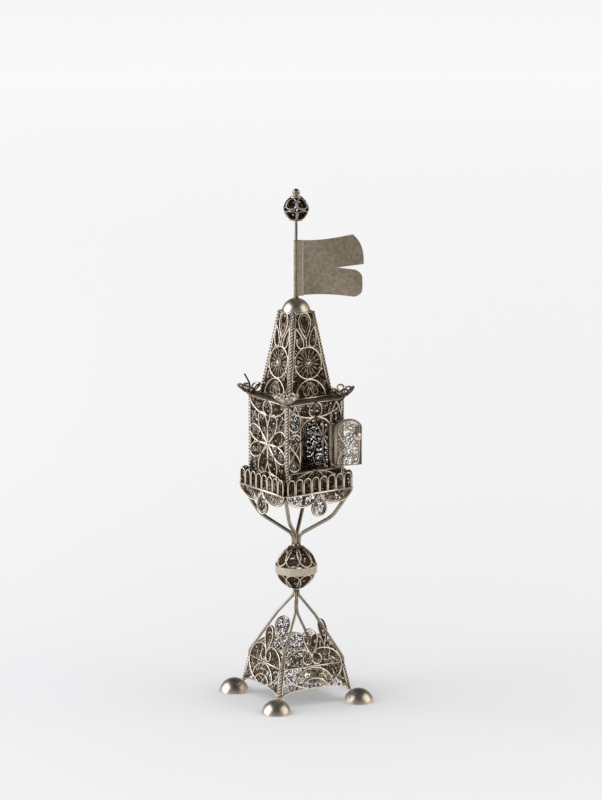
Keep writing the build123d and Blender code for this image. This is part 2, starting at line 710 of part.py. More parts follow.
def flag():
    """Swallow-tailed sheet with a folded hem rolled round the staff."""
    upper_tip = (flag_length, notch_height + notch_gap / 2)
    lower_tip = (tail_reach, notch_height - notch_gap / 2)
    fly = flag_length - tail_round
    belly = flag_length - tail_belly
    peak = (fly, flag_peak)
    foot_end = (fly, -flag_dip)
    upper_belly = (belly, (flag_peak + upper_tip[1]) / 2 + tail_belly)
    head_middle = (fly / 2, (flag_hoist + flag_peak) / 2 - flag_hollow / 2)
    edge = Polyline((0, 0), (0, flag_hoist))
    edge += ThreePointArc((0, flag_hoist), head_middle, peak)
    edge += ThreePointArc(peak, upper_belly, upper_tip)
    notch = (notch_reach, notch_height)
    edge += Polyline(upper_tip, notch)
    edge += FilletPolyline(notch, lower_tip, (tail_reach, -flag_dip), foot_end, radius=tail_turn)
    edge += ThreePointArc(foot_end, (fly / 2, flag_hollow), (0, 0))
    sheet_part = extrude(Plane.XZ * make_face(edge), amount=flag_sheet / 2, both=True)
    lap = Pos(hem_lap / 2, 0, flag_hoist / 2) * Box(hem_lap, hem_sheet, flag_hoist)
    bore = staff_radius + flag_fit
    tube = disc(bore + hem_wall, flag_hoist, small_sides)
    return sheet_part + lap + tube - Pos(0, 0, -flag_hoist) * extrude(Circle(bore), amount=3 * flag_hoist)


flag_low = dome_top + seat_gap + ferrule_height + flag_lift
nodes["flag"] = Pos(0, 0, flag_low) * Rot(0, 0, flag_turn) * flag()


# Finial ball and bead

finial_high_angle = degrees(acos(finial_cap / finial_radius))
finial_low_angle = degrees(asin(seat_gap / (finial_radius - ribbon_depth)))
finial_reach = finial_radius * sin(radians(finial_high_angle)) + seat_gap
finial_centre = finial_low + finial_cap_height + finial_reach
finial_half = petal_ring(
    finial_radius, finial_petals, finial_petal_width, finial_low_angle, finial_high_angle, ribbon_depth)
pole = disc(finial_cap, finial_cap_height, small_sides)
ball = [Rot(180 * flip, 0, 0) * petal for petal in finial_half for flip in (0, 1)]
ball += [Rot(180 * flip, 0, 0) * (Pos(0, 0, finial_reach) * pole) for flip in (0, 1)]
nodes["finial_ball"] = [Pos(0, 0, finial_centre) * piece for piece in ball]
bead_low = finial_centre + finial_reach + finial_cap_height + seat_gap
half_bead = dome(bead_radius, bead_radius, bead_bands, small_sides)
nodes["finial_bead"] = Pos(0, 0, bead_low + bead_radius) * (half_bead + Rot(180, 0, 0) * half_bead)


# One file for each node

os.makedirs("parts", exist_ok=True)
for name, shape in nodes.items():
    solids = shape if isinstance(shape, list) else [shape]
    solids = [solid for piece in solids for solid in piece.solids()]
    export_step(Compound(solids) if len(solids) > 1 else solids[0], f"parts/{name}.step")
print(f"{len(nodes)} nodes, height {bead_low + 2 * bead_radius:.1f} mm")
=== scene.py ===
"""Looks of a silver filigree spice tower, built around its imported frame."""

import logging
import math
from dataclasses import dataclass
from enum import Enum
from typing import Iterable, Sequence

import bpy
import numpy as np
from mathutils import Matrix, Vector


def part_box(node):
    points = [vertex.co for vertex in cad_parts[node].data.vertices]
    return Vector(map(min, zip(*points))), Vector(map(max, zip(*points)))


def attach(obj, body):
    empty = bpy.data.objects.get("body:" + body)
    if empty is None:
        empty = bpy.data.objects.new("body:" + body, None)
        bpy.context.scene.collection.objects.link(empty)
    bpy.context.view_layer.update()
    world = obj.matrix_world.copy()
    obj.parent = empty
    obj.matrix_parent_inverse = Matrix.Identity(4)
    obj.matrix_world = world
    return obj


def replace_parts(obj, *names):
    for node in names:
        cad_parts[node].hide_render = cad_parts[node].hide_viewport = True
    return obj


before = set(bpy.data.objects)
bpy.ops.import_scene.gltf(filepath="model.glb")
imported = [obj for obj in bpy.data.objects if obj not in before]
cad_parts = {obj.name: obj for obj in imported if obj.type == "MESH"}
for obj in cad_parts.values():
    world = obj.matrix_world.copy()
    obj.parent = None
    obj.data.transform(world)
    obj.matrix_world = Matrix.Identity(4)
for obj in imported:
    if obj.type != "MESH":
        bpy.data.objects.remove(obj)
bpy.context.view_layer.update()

log = logging.getLogger("spice_tower")

# Sizes are in millimetres and angles in degrees; only the studio's sizes are in metres.
MM = 0.001
SIDES = {"front": 0.0, "right": 90.0, "back": 180.0, "left": 270.0}
CORNERS = {"front_left": 225.0, "front_right": 315.0, "back_right": 45.0, "back_left": 135.0}
HALVES = {"lower": -1.0, "upper": 1.0}
UP = np.array((0.0, 0.0, 1.0))
CREASE = 40.0
HALF_WIRE = 0.3
TINY = 1e-12
STEEP = 0.9

Point = Sequence[float]


# Lines in the plane of a panel


def oval(centre: Point, wide: float, high: float, start: float, end: float, steps: int = 28) -> np.ndarray:
    """Points along an ellipse.

    Args:
        centre: middle of the ellipse.
        wide: half width.
        high: half height.
        start: first angle.
        end: last angle.
        steps: number of pieces.

    Returns:
        Array of points, one row each.
    """
    angles = np.radians(np.linspace(start, end, steps + 1))
    return np.column_stack((centre[0] + wide * np.cos(angles), centre[1] + high * np.sin(angles)))


def ring(centre: Point, radius: float, steps: int = 32) -> np.ndarray:
    """Points round a circle, without the repeated last one."""
    return oval(centre, radius, radius, 0, 360, steps)[:-1]


def straight(start: Point, end: Point, steps: int = 2) -> np.ndarray:
    """Points along a straight stretch."""
    return np.linspace(start, end, steps + 1)


def turned(points: np.ndarray, angle: float, shift: Point = (0.0, 0.0)) -> np.ndarray:
    """The points turned about the origin by an angle, then shifted."""
    c, s = math.cos(math.radians(angle)), math.sin(math.radians(angle))
    return points @ np.array(((c, s), (-s, c))) + np.asarray(shift)


def teardrop(tip: Point, length: float, width: float, angle: float, steps: int = 30) -> np.ndarray:
    """Points of a teardrop loop, its tip first.

    Args:
        tip: place of the pointed end.
        length: from the tip to the far end of the belly.
        width: across the belly.
        angle: direction of the belly.
        steps: number of points.

    Returns:
        Array of points round the closed loop.
    """
    t = np.linspace(0, 2 * np.pi, steps, endpoint=False)
    # The largest value of sin(t) * sin(t / 2), which the width belongs to
    belly = 4 / (3 * math.sqrt(3))
    points = np.column_stack((length * (1 - np.cos(t)) / 2, width / 2 * np.sin(t) * np.sin(t / 2) / belly))
    return turned(points, angle, tip)


def mirrored(points: np.ndarray) -> np.ndarray:
    """The points on the other side of the upright axis."""
    return points * np.array((-1.0, 1.0))


def inside(points: np.ndarray, outline: np.ndarray) -> np.ndarray:
    """Tells which points lie inside a closed outline.

    Args:
        points: points to test, one row each.
        outline: corners of the outline.

    Returns:
        Mask that is true for the points inside.
    """
    after = np.roll(outline, -1, axis=0)
    x, y = points[:, :1], points[:, 1:]
    spans = (outline[:, 1] > y) != (after[:, 1] > y)
    rise = np.where(after[:, 1] == outline[:, 1], 1.0, after[:, 1] - outline[:, 1])
    cross = outline[:, 0] + (y - outline[:, 1]) / rise * (after[:, 0] - outline[:, 0])
    return np.count_nonzero(spans & (x < cross), axis=1) % 2 == 1


def distance_to_lines(points: np.ndarray, lines: Iterable[np.ndarray]) -> np.ndarray:
    """Measures how far each point is from the nearest of several lines.

    Args:
        points: points to measure from, one row each.
        lines: points along each line.

    Returns:
        Distance of each point.
    """
    nearest = np.full(len(points), np.inf)
    for line in lines:
        for a, b in zip(line, line[1:]):
            way = b - a
            share = np.clip((points - a) @ way / max(way @ way, TINY), 0, 1)
            nearest = np.minimum(nearest, np.linalg.norm(points - a - share[:, None] * way, axis=1))
    return nearest


def rounded(points: Sequence[Point], bends: float | Sequence[float], steps: int = 8) -> np.ndarray:
    """A line of straight stretches with its inner corners rounded.

    Args:
        points: ends and corners of the stretches.
        bends: bend radius, the same for all the corners or one for each.
        steps: pieces along each bend.

    Returns:
        Points along the line.
    """
    points = [np.asarray(p, float) for p in points]
    line = [points[0]]
    each = np.broadcast_to(bends, len(points) - 2)
    for before, corner, after, bend in zip(points, points[1:], points[2:], each):
        back, on = before - corner, after - corner
        reach_back, reach_on = np.linalg.norm(back), np.linalg.norm(on)
        half = math.acos(np.clip(back @ on / reach_back / reach_on, -1, 1)) / 2
        cut = min(bend / math.tan(half), reach_back / 2, reach_on / 2)
        start, end = corner + back / reach_back * cut, corner + on / reach_on * cut
        for t in np.linspace(0, 1, steps + 1):
            line.append((1 - t) ** 2 * start + 2 * t * (1 - t) * corner + t ** 2 * end)
    return np.array(line + [points[-1]])


# Surfaces that panels are worked on


def spun(vector: Point, angle: float) -> np.ndarray:
    """Turns a vector about the tower's axis.

    Args:
        vector: the vector.
        angle: how far it is turned.

    Returns:
        The turned vector.
    """
    x, y, z = vector
    c, s = math.cos(math.radians(angle)), math.sin(math.radians(angle))
    return np.array((x * c - y * s, x * s + y * c, z))


@dataclass(frozen=True)
class FlatFace:
    """Flat face: local x runs along it, y up it, and the normal points outward."""

    origin: np.ndarray
    along: np.ndarray
    up: np.ndarray

    @classmethod
    def of_side(cls, turn: float, half: float, z: float, lean: float = 0.0) -> "FlatFace":
        """Lays out one face of a four-sided body.

        Args:
            turn: direction of the side, 0 for the front.
            half: distance of the face from the axis at local y = 0.
            z: height of local y = 0.
            lean: how far the face tips back.

        Returns:
            The face.
        """
        tilt = math.radians(lean)
        up = spun((0, math.sin(tilt), math.cos(tilt)), turn)
        return cls(spun((0, -half, z), turn), spun((1, 0, 0), turn), up)

    def swung(self, pivot: Point, angle: float) -> "FlatFace":
        """Turns the face about an upright axis.

        Args:
            pivot: a point of the axis.
            angle: how far it is turned.

        Returns:
            The turned face.
        """
        pivot = np.array((pivot[0], pivot[1], 0.0))
        origin = spun(self.origin - pivot, angle) + pivot
        return FlatFace(origin, spun(self.along, angle), spun(self.up, angle))

    def place(self, points: np.ndarray) -> tuple[np.ndarray, np.ndarray]:
        """Places of local points in space, and the outward normal at each."""
        places = self.origin + points[:, :1] * self.along + points[:, 1:] * self.up
        return places, np.tile(np.cross(self.along, self.up), (len(points), 1))


@dataclass(frozen=True)
class BallFace:
    """Ball round the tower's axis: local x runs round it, y from its equator to a pole."""

    centre: float
    radius: float
    turn: float
    way: float = 1.0

    def place(self, points: np.ndarray) -> tuple[np.ndarray, np.ndarray]:
        """Finds where local points lie on the ball.

        Args:
            points: local points, one row each.

        Returns:
            Places of the points in space, and the outward normal at each.
        """
        rise = points[:, 1] / self.radius
        level, height = np.cos(rise), self.way * np.sin(rise)
        round_it = math.radians(self.turn) + points[:, 0] / (self.radius * level)
        normal = np.column_stack((level * np.cos(round_it), level * np.sin(round_it), height))
        return normal * self.radius + np.array((0, 0, self.centre)), normal


# Meshes swept along wires


@dataclass(frozen=True)
class Section:
    """Cross-section of a wire: offsets across it and along its depth, and how bright each corner is drawn:
    high for rubbed silver, low for oxide, which in the depth of the work is painted shade as well.
    """

    offsets: np.ndarray
    glint: np.ndarray

    @classmethod
    def ribbon(cls, width: float, depth: float, flank: float = 0.2, face: float = 1.0) -> "Section":
        """Shapes a flattened wire that stands on edge.

        Args:
            width: across the wire.
            depth: from edge to edge.
            flank: glint deep between the edges.
            face: glint on the edges.

        Returns:
            The section.
        """
        w, d = width / 2, depth / 2
        flat, fall, shoulder = 0.62 * w, 0.8 * w, 0.6 * face
        crown = ((flat, d), (-flat, d), (-w, d - fall), (-w, 0))
        offsets = np.array(crown + tuple((-x, -y) for x, y in crown))
        return cls(offsets, np.array((face, face, shoulder, flank) * 2))

    @classmethod
    def scroll(cls, width: float, depth: float, ridge: float, flank: float, back: float) -> "Section":
        """Shapes the fine wire that scrolls are curled from.

        Args:
            width: across the wire.
            depth: from its ridge to its back.
            ridge: glint on the ridge.
            flank: glint on both sides.
            back: glint on the back.

        Returns:
            The section.
        """
        w, d = width / 2, depth / 2
        shoulder = 0.3 * d
        offsets = np.array(((0, d), (-w, shoulder), (0, -d), (w, shoulder)))
        return cls(offsets, np.array((ridge, flank, back, flank)))

    @classmethod
    def round(cls, radius: float, corners: int, dull: float = 1.0, bright: float = 1.0) -> "Section":
        """Shapes a drawn round wire.

        Args:
            radius: radius of the wire.
            corners: number of corners round it.
            dull: glint on the far side.
            bright: glint on the facing side.

        Returns:
            The section.
        """
        a = np.linspace(0, 2 * np.pi, corners, endpoint=False)
        offsets = radius * np.column_stack((-np.sin(a), np.cos(a)))
        return cls(offsets, dull + (bright - dull) * (1 + np.cos(a)) / 2)


class WireMesh:
    """Mesh gathered from swept wires, turned pieces and sheets."""

    def __init__(self, crease: float | None = None, worn: float = 1.0) -> None:
        """Starts an empty mesh.

        Args:
            crease: edges bent by more than this stay sharp, or None for none.
            worn: glint on turned pieces and sheets.
        """
        self.crease = crease
        self.points: list[np.ndarray] = []
        self.glints: list[np.ndarray] = []
        self.quads: list[np.ndarray] = []
        self.count = 0
        self.worn = worn

    def add(self, points: np.ndarray, quads: np.ndarray, glint: np.ndarray) -> None:
        """Adds a stretch of mesh.

        Args:
            points: its points.
            quads: four indices of points for each face.
            glint: how worn bright each point is.
        """
        self.points.append(points)
        self.quads.append(quads + self.count)
        self.glints.append(glint)
        self.count += len(points)

    def sweep(self, line: np.ndarray, facing: np.ndarray, section: Section, closed: bool = False) -> None:
        """Sweeps a section along a line in space.

        Args:
            line: points of the line.
            facing: direction of the section's depth at each point.
            section: cross-section of the wire.
            closed: whether the line is a loop.
        """
        if closed:
            way = np.roll(line, -1, axis=0) - np.roll(line, 1, axis=0)
        else:
            way = np.gradient(line, axis=0)
        across = np.cross(facing, way)
        across /= np.linalg.norm(across, axis=1, keepdims=True)
        u, v = section.offsets[:, 0], section.offsets[:, 1]
        body = line[:, None] + across[:, None] * u[None, :, None] + facing[:, None] * v[None, :, None]
        rows, size = len(line), len(u)
        i = np.arange(rows if closed else rows - 1)[:, None]
        j = np.arange(size)[None, :]
        k, n = (j + 1) % size, (i + 1) % rows
        quads = np.stack((i * size + j, i * size + k, n * size + k, n * size + j), axis=-1).reshape(-1, 4)
        if not closed:
            end = (rows - 1) * size
            caps = [(0, s + 2, s + 1, s) for s in range(1, size - 2, 2)]
            caps += [(end, end + s, end + s + 1, end + s + 2) for s in range(1, size - 2, 2)]
            quads = np.vstack((quads, np.array(caps)))
        self.add(body.reshape(-1, 3), quads, np.tile(section.glint, rows))

    def lathe(self, profile: Sequence[Point], centre: Point, axis: np.ndarray, sides: int = 48) -> None:
        """Turns a profile about an axis.

        Args:
            profile: reach and height of each point.
            centre: foot of the axis.
            axis: direction of the axis.
            sides: number of facets round it.
        """
        axis = np.asarray(axis, float) / np.linalg.norm(axis)
        along_y = abs(axis[1]) >= STEEP
        side = np.cross(axis, (1.0, 0.0, 0.0) if along_y else (0.0, 1.0, 0.0))
        side /= np.linalg.norm(side)
        other = np.cross(axis, side)
        a = np.linspace(0, 2 * np.pi, sides, endpoint=False)
        out = np.cos(a)[:, None] * side + np.sin(a)[:, None] * other
        shape = np.asarray(profile, float)
        body = np.asarray(centre) + out[:, None] * shape[None, :, :1] + axis * shape[None, :, 1:]
        rows = len(shape)
        i = np.arange(sides)[:, None]
        j = np.arange(rows - 1)[None, :]
        n = (i + 1) % sides
        corners = (i * rows + j, n * rows + j, n * rows + j + 1, i * rows + j + 1)
        quads = np.stack(corners, axis=-1).reshape(-1, 4)
        self.add(body.reshape(-1, 3), quads, np.full(sides * rows, self.worn))

    def sheet(self, middle: np.ndarray, normal: np.ndarray, thickness: float) -> None:
        """Adds a thin sheet on a grid of points.

        Args:
            middle: grid of points on the sheet's middle, rows by columns by three.
            normal: direction of the thickness.
            thickness: thickness of the sheet.
        """
        rows, columns = middle.shape[:2]
        size = rows * columns
        body = np.stack((middle + normal * thickness / 2, middle - normal * thickness / 2)).reshape(-1, 3)
        index = np.arange(size).reshape(rows, columns)
        corners = (index[:-1, :-1], index[:-1, 1:], index[1:, 1:], index[1:, :-1])
        front = np.stack(corners, axis=-1).reshape(-1, 4)
        rim = np.concatenate((index[0], index[1:, -1], index[-1, -2::-1], index[-2:0:-1, 0]))
        on = np.roll(rim, -1)
        edge = np.column_stack((rim, rim + size, on + size, on))
        quads = np.vstack((front, front[:, ::-1] + size, edge))
        self.add(body, quads, np.full(len(body), self.worn))

    def build(self, name: str) -> bpy.types.Object:
        """Makes the Blender object, in metres, with the glint kept on its points.

        Args:
            name: name of the object.

        Returns:
            The object, in the scene.
        """
        points = np.vstack(self.points) * MM
        quads = np.vstack(self.quads)
        mesh = bpy.data.meshes.new(name)
        mesh.vertices.add(len(points))
        mesh.vertices.foreach_set("co", points.astype(np.float32).ravel())
        mesh.loops.add(quads.size)
        mesh.loops.foreach_set("vertex_index", quads.astype(np.int32).ravel())
        mesh.polygons.add(len(quads))
        mesh.polygons.foreach_set("loop_start", np.arange(0, quads.size, 4, dtype=np.int32))
        mesh.polygons.foreach_set("use_smooth", np.ones(len(quads), dtype=bool))
        mesh.update(calc_edges=True)
        if self.crease:
            mesh.set_sharp_from_angle(angle=math.radians(self.crease))
        glint = np.concatenate(self.glints).astype(np.float32)
        mesh.attributes.new("glint", "FLOAT", "POINT").data.foreach_set("value", glint)
        made = bpy.data.objects.new(name, mesh)
        bpy.context.scene.collection.objects.link(made)
        return made


FRAME_WIRE = Section.ribbon(2 * HALF_WIRE, 1.1)
INNER_WIRE = Section.ribbon(0.42, 0.95, 0.15, 0.74)
RAIL_WIRE = Section.ribbon(0.9, 1.2)
LOOP_WIRE = Section.ribbon(0.48, 1.2)
BRIGHT_SCROLL = Section.scroll(0.36, 0.7, 0.95, 0.0, 0.32)
DULL_SCROLL = Section.scroll(0.42, 0.75, 0.5, 0.12, 0.17)
TAN_SCROLL = Section.scroll(0.48, 0.7, 0.55, 0.3, 0.62)
# Scrolls of the door, bright on their flanks and back as well: painted light on the leaf, which faces the
# lamps and shows its inner face to the camera.
LIT_WARM_SCROLL = Section.scroll(0.5, 0.7, 0.9, 0.74, 0.94)


@dataclass(frozen=True)
class Scrolls:
    """Radii of the scrolls that fill a cell, tried in turn, and how many turns each is wound."""

    radii: tuple[float, ...] = (1.1, 0.8, 0.55, 0.38)
    turns: float = 1.35


class Openwork:
    """Filigree panel: frame wires on a surface, with scrolls packed between them.

    Attributes:
        spacing: distance between the spots where a scroll is tried.
        clearance: room between a scroll and the line of a wire.
        packing: how far a scroll's middle keeps from its neighbours' edges, as a share of its radius.
        winding: share of its radius that a scroll loses on its way in.
        scroll_points: points along a scroll.
        granule_arc: first and last angle of a granule's profile.
        granule_steps: points along that profile.
        granule_sides: facets round a granule.
        granule_lift: height of its middle above the surface.
    """

    spacing = 0.28
    clearance = 0.12
    packing = 0.94
    winding = 0.72
    scroll_points = 13
    granule_arc = (-60, 89)
    granule_steps = 9
    granule_sides = 16
    granule_lift = 0.3

    def __init__(self, surface: FlatFace | BallFace, seed: int, rubbed: float = 0.45,
                 dull: Section = DULL_SCROLL) -> None:
        """Starts an empty panel.

        Args:
            surface: surface that the panel is worked on.
            seed: seed of the scrolls' places and turns.
            rubbed: share of scrolls that are rubbed bright.
            dull: cross-section of the other scrolls.
        """
        self.surface = surface
        self.rubbed = rubbed
        self.dull = dull
        self.mesh = WireMesh()
        self.lines: list[np.ndarray] = []
        self.random = np.random.default_rng(seed)

    def wire(self, points: np.ndarray, section: Section = FRAME_WIRE, closed: bool = False) -> None:
        """Lays one wire and keeps its line, so that scrolls stay clear of it."""
        self.lines.append(np.vstack((points, points[:1])) if closed else points)
        self.mesh.sweep(*self.surface.place(points), section, closed)

    def both(self, points: np.ndarray, section: Section = FRAME_WIRE, closed: bool = False) -> None:
        """Lays a wire and its mirror image."""
        self.wire(points, section, closed)
        self.wire(mirrored(points), section, closed)

    def frame(self, corners: Sequence[Point]) -> None:
        """Lays straight wires from corner to corner."""
        for start, end in zip(corners, [*corners[1:], corners[0]]):
            self.wire(straight(start, end))

    def granule(self, centre: Point, radius: float) -> None:
        """Solders a small ball of silver on a crossing.

        Args:
            centre: local place of the crossing.
            radius: radius of the ball.
        """
        spot, normal = self.surface.place(np.array([centre]))
        arc = np.radians(np.linspace(*self.granule_arc, self.granule_steps))
        profile = np.column_stack((radius * np.cos(arc), radius * np.sin(arc)))
        self.mesh.lathe(profile, spot[0] + normal[0] * self.granule_lift, normal[0], self.granule_sides)

    def fill(self, outline: np.ndarray, scrolls: Scrolls = Scrolls()) -> None:
        """Packs scrolls inside an outline, in rows along the wires, the large ones first.

        Args:
            outline: closed outline to fill.
            scrolls: sizes of the scrolls.
        """
        low, high = outline.min(axis=0), outline.max(axis=0)
        stray = self.spacing / 2
        rows = (np.arange(a, b, self.spacing) for a, b in zip(low, high))
        spots = np.stack(np.meshgrid(*rows), axis=-1).reshape(-1, 2)
        spots = spots + self.random.uniform(-stray, stray, spots.shape)
        spots = spots[inside(spots, outline)]
        if not len(spots):
            return
        room = distance_to_lines(spots, self.lines)
        placed = np.zeros((0, 3))
        for radius in scrolls.radii:
            fits = np.flatnonzero(room > radius + self.clearance)
            for i in fits[np.argsort(room[fits])]:
                gaps = np.linalg.norm(placed[:, :2] - spots[i], axis=1) - placed[:, 2]
                if not len(gaps) or gaps.min() > radius * self.packing:
                    placed = np.vstack((placed, (*spots[i], radius)))
        for x, y, radius in placed:
            self.scroll((x, y), radius, scrolls.turns)

    def scroll(self, centre: Point, radius: float, turns: float) -> None:
        """Curls one fine wire into a scroll.

        Args:
            centre: local middle of the scroll.
            radius: reach of its outer end.
            turns: how far it is wound.
        """
        s = np.linspace(0, 1, self.scroll_points)
        fine = BRIGHT_SCROLL if self.random.random() < self.rubbed else self.dull
        hand = self.random.choice((-1.0, 1.0))
        angle = self.random.uniform(0, 2 * np.pi) + hand * 2 * np.pi * turns * s
        reach = radius * (1 - self.winding * s)
        points = np.column_stack((centre[0] + reach * np.cos(angle), centre[1] + reach * np.sin(angle)))
        self.mesh.sweep(*self.surface.place(points), fine)


@dataclass(frozen=True)
class Rope:
    """Two strands of wire twisted together.

    Attributes:
        radius: radius over both strands.
        pitch: length of one full twist.
        strand: radius of each strand, as a share of the rope's.
        reach: distance of a strand from the middle, as a share of the rope's radius.
        corners: corners round a strand.
        steps: pieces along one full twist.
    """

    radius: float = 0.65
    pitch: float = 2.7
    strand: float = 0.52
    reach: float = 0.48
    corners: int = 6
    steps: int = 12

    def twist(self, mesh: WireMesh, low: np.ndarray, high: np.ndarray) -> None:
        """Twists the strands along a straight line.

        Args:
            mesh: mesh that takes the strands.
            low: lower end of the line.
            high: upper end.
        """
        way = high - low
        length = np.linalg.norm(way)
        way = way / length
        side = np.cross(way, (0.0, 1.0, 0.0))
        side /= np.linalg.norm(side)
        other = np.cross(way, side)
        s = np.linspace(0, length, int(length / self.pitch * self.steps) + 1)
        strand = Section.round(self.radius * self.strand, self.corners, dull=0.0)
        for start in (0.0, np.pi):
            a = start + 2 * np.pi * s / self.pitch
            out = np.cos(a)[:, None] * side + np.sin(a)[:, None] * other
            mesh.sweep(low + s[:, None] * way + out * self.radius * self.reach, out, strand)

    def up_corners(self, foot: Point, head: Point, turn: float = 0.0) -> WireMesh:
        """Runs a rope up each corner of a tapered body.

        Args:
            foot: half width and height of the body's lower end.
            head: half width and height of its upper end.
            turn: how far the body is turned about the tower's axis.

        Returns:
            The four ropes as one mesh.
        """
        mesh = WireMesh()
        for angle in CORNERS.values():
            ends = [corner_point(angle + turn, half, z) for half, z in (foot, head)]
            self.twist(mesh, *ends)
        return mesh


def corner_point(angle: float, half: float, z: float) -> np.ndarray:
    """Point above a corner of a square, given the direction of the corner and half the square's side."""
    return spun((half * math.sqrt(2), 0, z), angle)


def bent_wire(path: np.ndarray, angle: float, radius: float, corners: int = 12) -> WireMesh:
    """Bends a round wire in an upright plane through the tower's axis.

    Args:
        path: reach and height of each point.
        angle: direction of the plane.
        radius: radius of the wire.
        corners: corners round it.

    Returns:
        Mesh of the wire.
    """
    mesh = WireMesh()
    line = np.array([spun((reach, 0, z), angle) for reach, z in path])
    facing = np.tile(spun((0, 1, 0), angle), (len(line), 1))
    mesh.sweep(line, facing, Section.round(radius, corners))
    return mesh


def dome_arc(rim: float, crown: float, steps: int) -> np.ndarray:
    """Measures the arc of a dome from its crown to its rim.

    Args:
        rim: radius of the rim.
        crown: height of the crown above it.
        steps: pieces along the arc.

    Returns:
        Reach and height of each point.
    """
    ball = (rim ** 2 + crown ** 2) / (2 * crown)
    angles = np.linspace(0, math.acos((ball - crown) / ball), steps + 1)
    return np.column_stack((ball * np.sin(angles), ball * np.cos(angles) - ball + crown))


def dome_profile(radius: float, height: float, wall: float, steps: int = 14) -> np.ndarray:
    """Reach and height of a hollow dome, from its inner crown round the rim to its outer crown."""
    return np.vstack((dome_arc(radius - wall, height - wall, steps), dome_arc(radius, height, steps)[::-1]))


# Finishes


def rgb(hex_code: str) -> tuple[float, float, float, float]:
    """Linear colour of an sRGB hex code."""
    parts = [int(hex_code[i:i + 2], 16) / 255 for i in (1, 3, 5)]
    return (*[c / 12.92 if c <= 0.04045 else ((c + 0.055) / 1.055) ** 2.4 for c in parts], 1.0)


class Slot(Enum):
    """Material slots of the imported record."""

    FILIGREE = "filigree_silver_wire"
    WIRE = "plain_silver_wire"
    SHEET = "satin_silver_sheet"
    POLISHED = "polished_silver"


def add_node(tree: bpy.types.NodeTree, kind: str, links: dict | None = None, **settings) -> bpy.types.Node:
    """Adds a shader node.

    Args:
        tree: node tree that takes it.
        kind: node type.
        links: input names, with a value to set or an output socket to link.
        settings: properties of the node.

    Returns:
        The new node.
    """
    node = tree.nodes.new(kind)
    for name, value in settings.items():
        setattr(node, name, value)
    for name, value in (links or {}).items():
        socket = node.inputs[name]
        if isinstance(value, bpy.types.NodeSocket):
            tree.links.new(value, socket)
        else:
            socket.default_value = value
    return node


@dataclass(frozen=True)
class SilverFinish:
    """Silver with a brown-black oxide left where no hand has rubbed it off.

    Attributes:
        name: the real material and how it was made.
        bright: colour of the rubbed silver.
        tan: colour of a thin oxide.
        dark: colour of a thick oxide.
        rubbed: share of bare silver, or None where the mesh's glint gives it.
        wear: how far the spots stray from that share.
        spots: size of the spots.
        roughness: roughness of bare silver.
        dents: depth of the hammer marks.
        dent_size: distance between them.
        grain: how fine the spots break up.
        dent_grain: how fine the hammer marks break up.
        thin_oxide: share of bare silver that looks tan.
        oxide_rough: how much rougher the oxide is than bare silver.
    """

    name: str
    bright: str
    tan: str
    dark: str
    rubbed: float | None
    wear: float
    spots: float
    roughness: float
    dents: float = 0.0
    dent_size: float = 5.0
    grain: float = 3.0
    dent_grain: float = 2.0
    thin_oxide: float = 0.5
    oxide_rough: float = 1.5

    def build(self) -> bpy.types.Material:
        """Makes the material.

        Returns:
            The material.
        """
        material = bpy.data.materials.new(self.name)
        material.use_nodes = True
        tree = material.node_tree
        tree.nodes.clear()
        place = add_node(tree, "ShaderNodeTexCoord").outputs["Object"]
        spots = add_node(tree, "ShaderNodeTexNoise",
                         {"Vector": place, "Scale": 1 / (self.spots * MM), "Detail": self.grain})
        stray = add_node(tree, "ShaderNodeMath", {0: spots.outputs["Fac"], 1: self.wear, 2: -self.wear / 2},
                         operation="MULTIPLY_ADD")
        share = self.rubbed
        if share is None:
            share = add_node(tree, "ShaderNodeAttribute", attribute_name="glint").outputs["Fac"]
        bare = add_node(tree, "ShaderNodeMath", {0: stray.outputs[0], 1: share},
                        operation="ADD", use_clamp=True)
        colour = add_node(tree, "ShaderNodeValToRGB", {"Fac": bare.outputs[0]})
        stops = colour.color_ramp.elements
        stops[0].color, stops[1].color = rgb(self.dark), rgb(self.bright)
        stops.new(self.thin_oxide).color = rgb(self.tan)
        rough = add_node(tree, "ShaderNodeMapRange",
                         {"Value": bare.outputs[0], "To Min": self.roughness * self.oxide_rough,
                          "To Max": self.roughness})
        links = {"Base Color": colour.outputs[0], "Metallic": 1.0, "Roughness": rough.outputs[0]}
        if self.dents:
            marks = add_node(tree, "ShaderNodeTexNoise",
                             {"Vector": place, "Scale": 1 / (self.dent_size * MM), "Detail": self.dent_grain})
            bump = add_node(tree, "ShaderNodeBump",
                            {"Strength": 1.0, "Distance": self.dents * MM, "Height": marks.outputs["Fac"]})
            links["Normal"] = bump.outputs[0]
        surface = add_node(tree, "ShaderNodeBsdfPrincipled", links)
        add_node(tree, "ShaderNodeOutputMaterial", {"Surface": surface.outputs[0]})
        return material


FINISHES = {
    # Bright ridges on brown-black flanks, so that the panels sparkle but stay dark in their depth; that dark
    # is the oxide in the hollows and painted shade there as well
    Slot.FILIGREE: SilverFinish("oxidised_filigree_silver_wire", "#f9f1e5", "#604b36", "#080402",
                                rubbed=None, wear=0.36, spots=0.8, roughness=0.3),
    # Even warm grey with a soft gleam along each round wire
    Slot.WIRE: SilverFinish("drawn_silver_wire", "#b9b2a6", "#776b5c", "#3a3025",
                            rubbed=0.8, wear=0.6, spots=1.6, roughness=0.27),
    # Dull grey sheet with a fine, faintly darker speckle
    Slot.SHEET: SilverFinish("rolled_silver_sheet", "#e8e0d4", "#968a78", "#4a3d30",
                             rubbed=None, wear=0.6, spots=1.5, roughness=0.33,
                             dents=0.02, dent_size=6.0, grain=8.0),
    # Soft mirror of the room, with a bright patch of light on each side
    Slot.POLISHED: SilverFinish("raised_polished_silver", "#dcd7cd", "#968a78", "#5c4d3b",
                                rubbed=0.84, wear=0.6, spots=2.5, roughness=0.3, dents=0.03, dent_size=4.0),
}


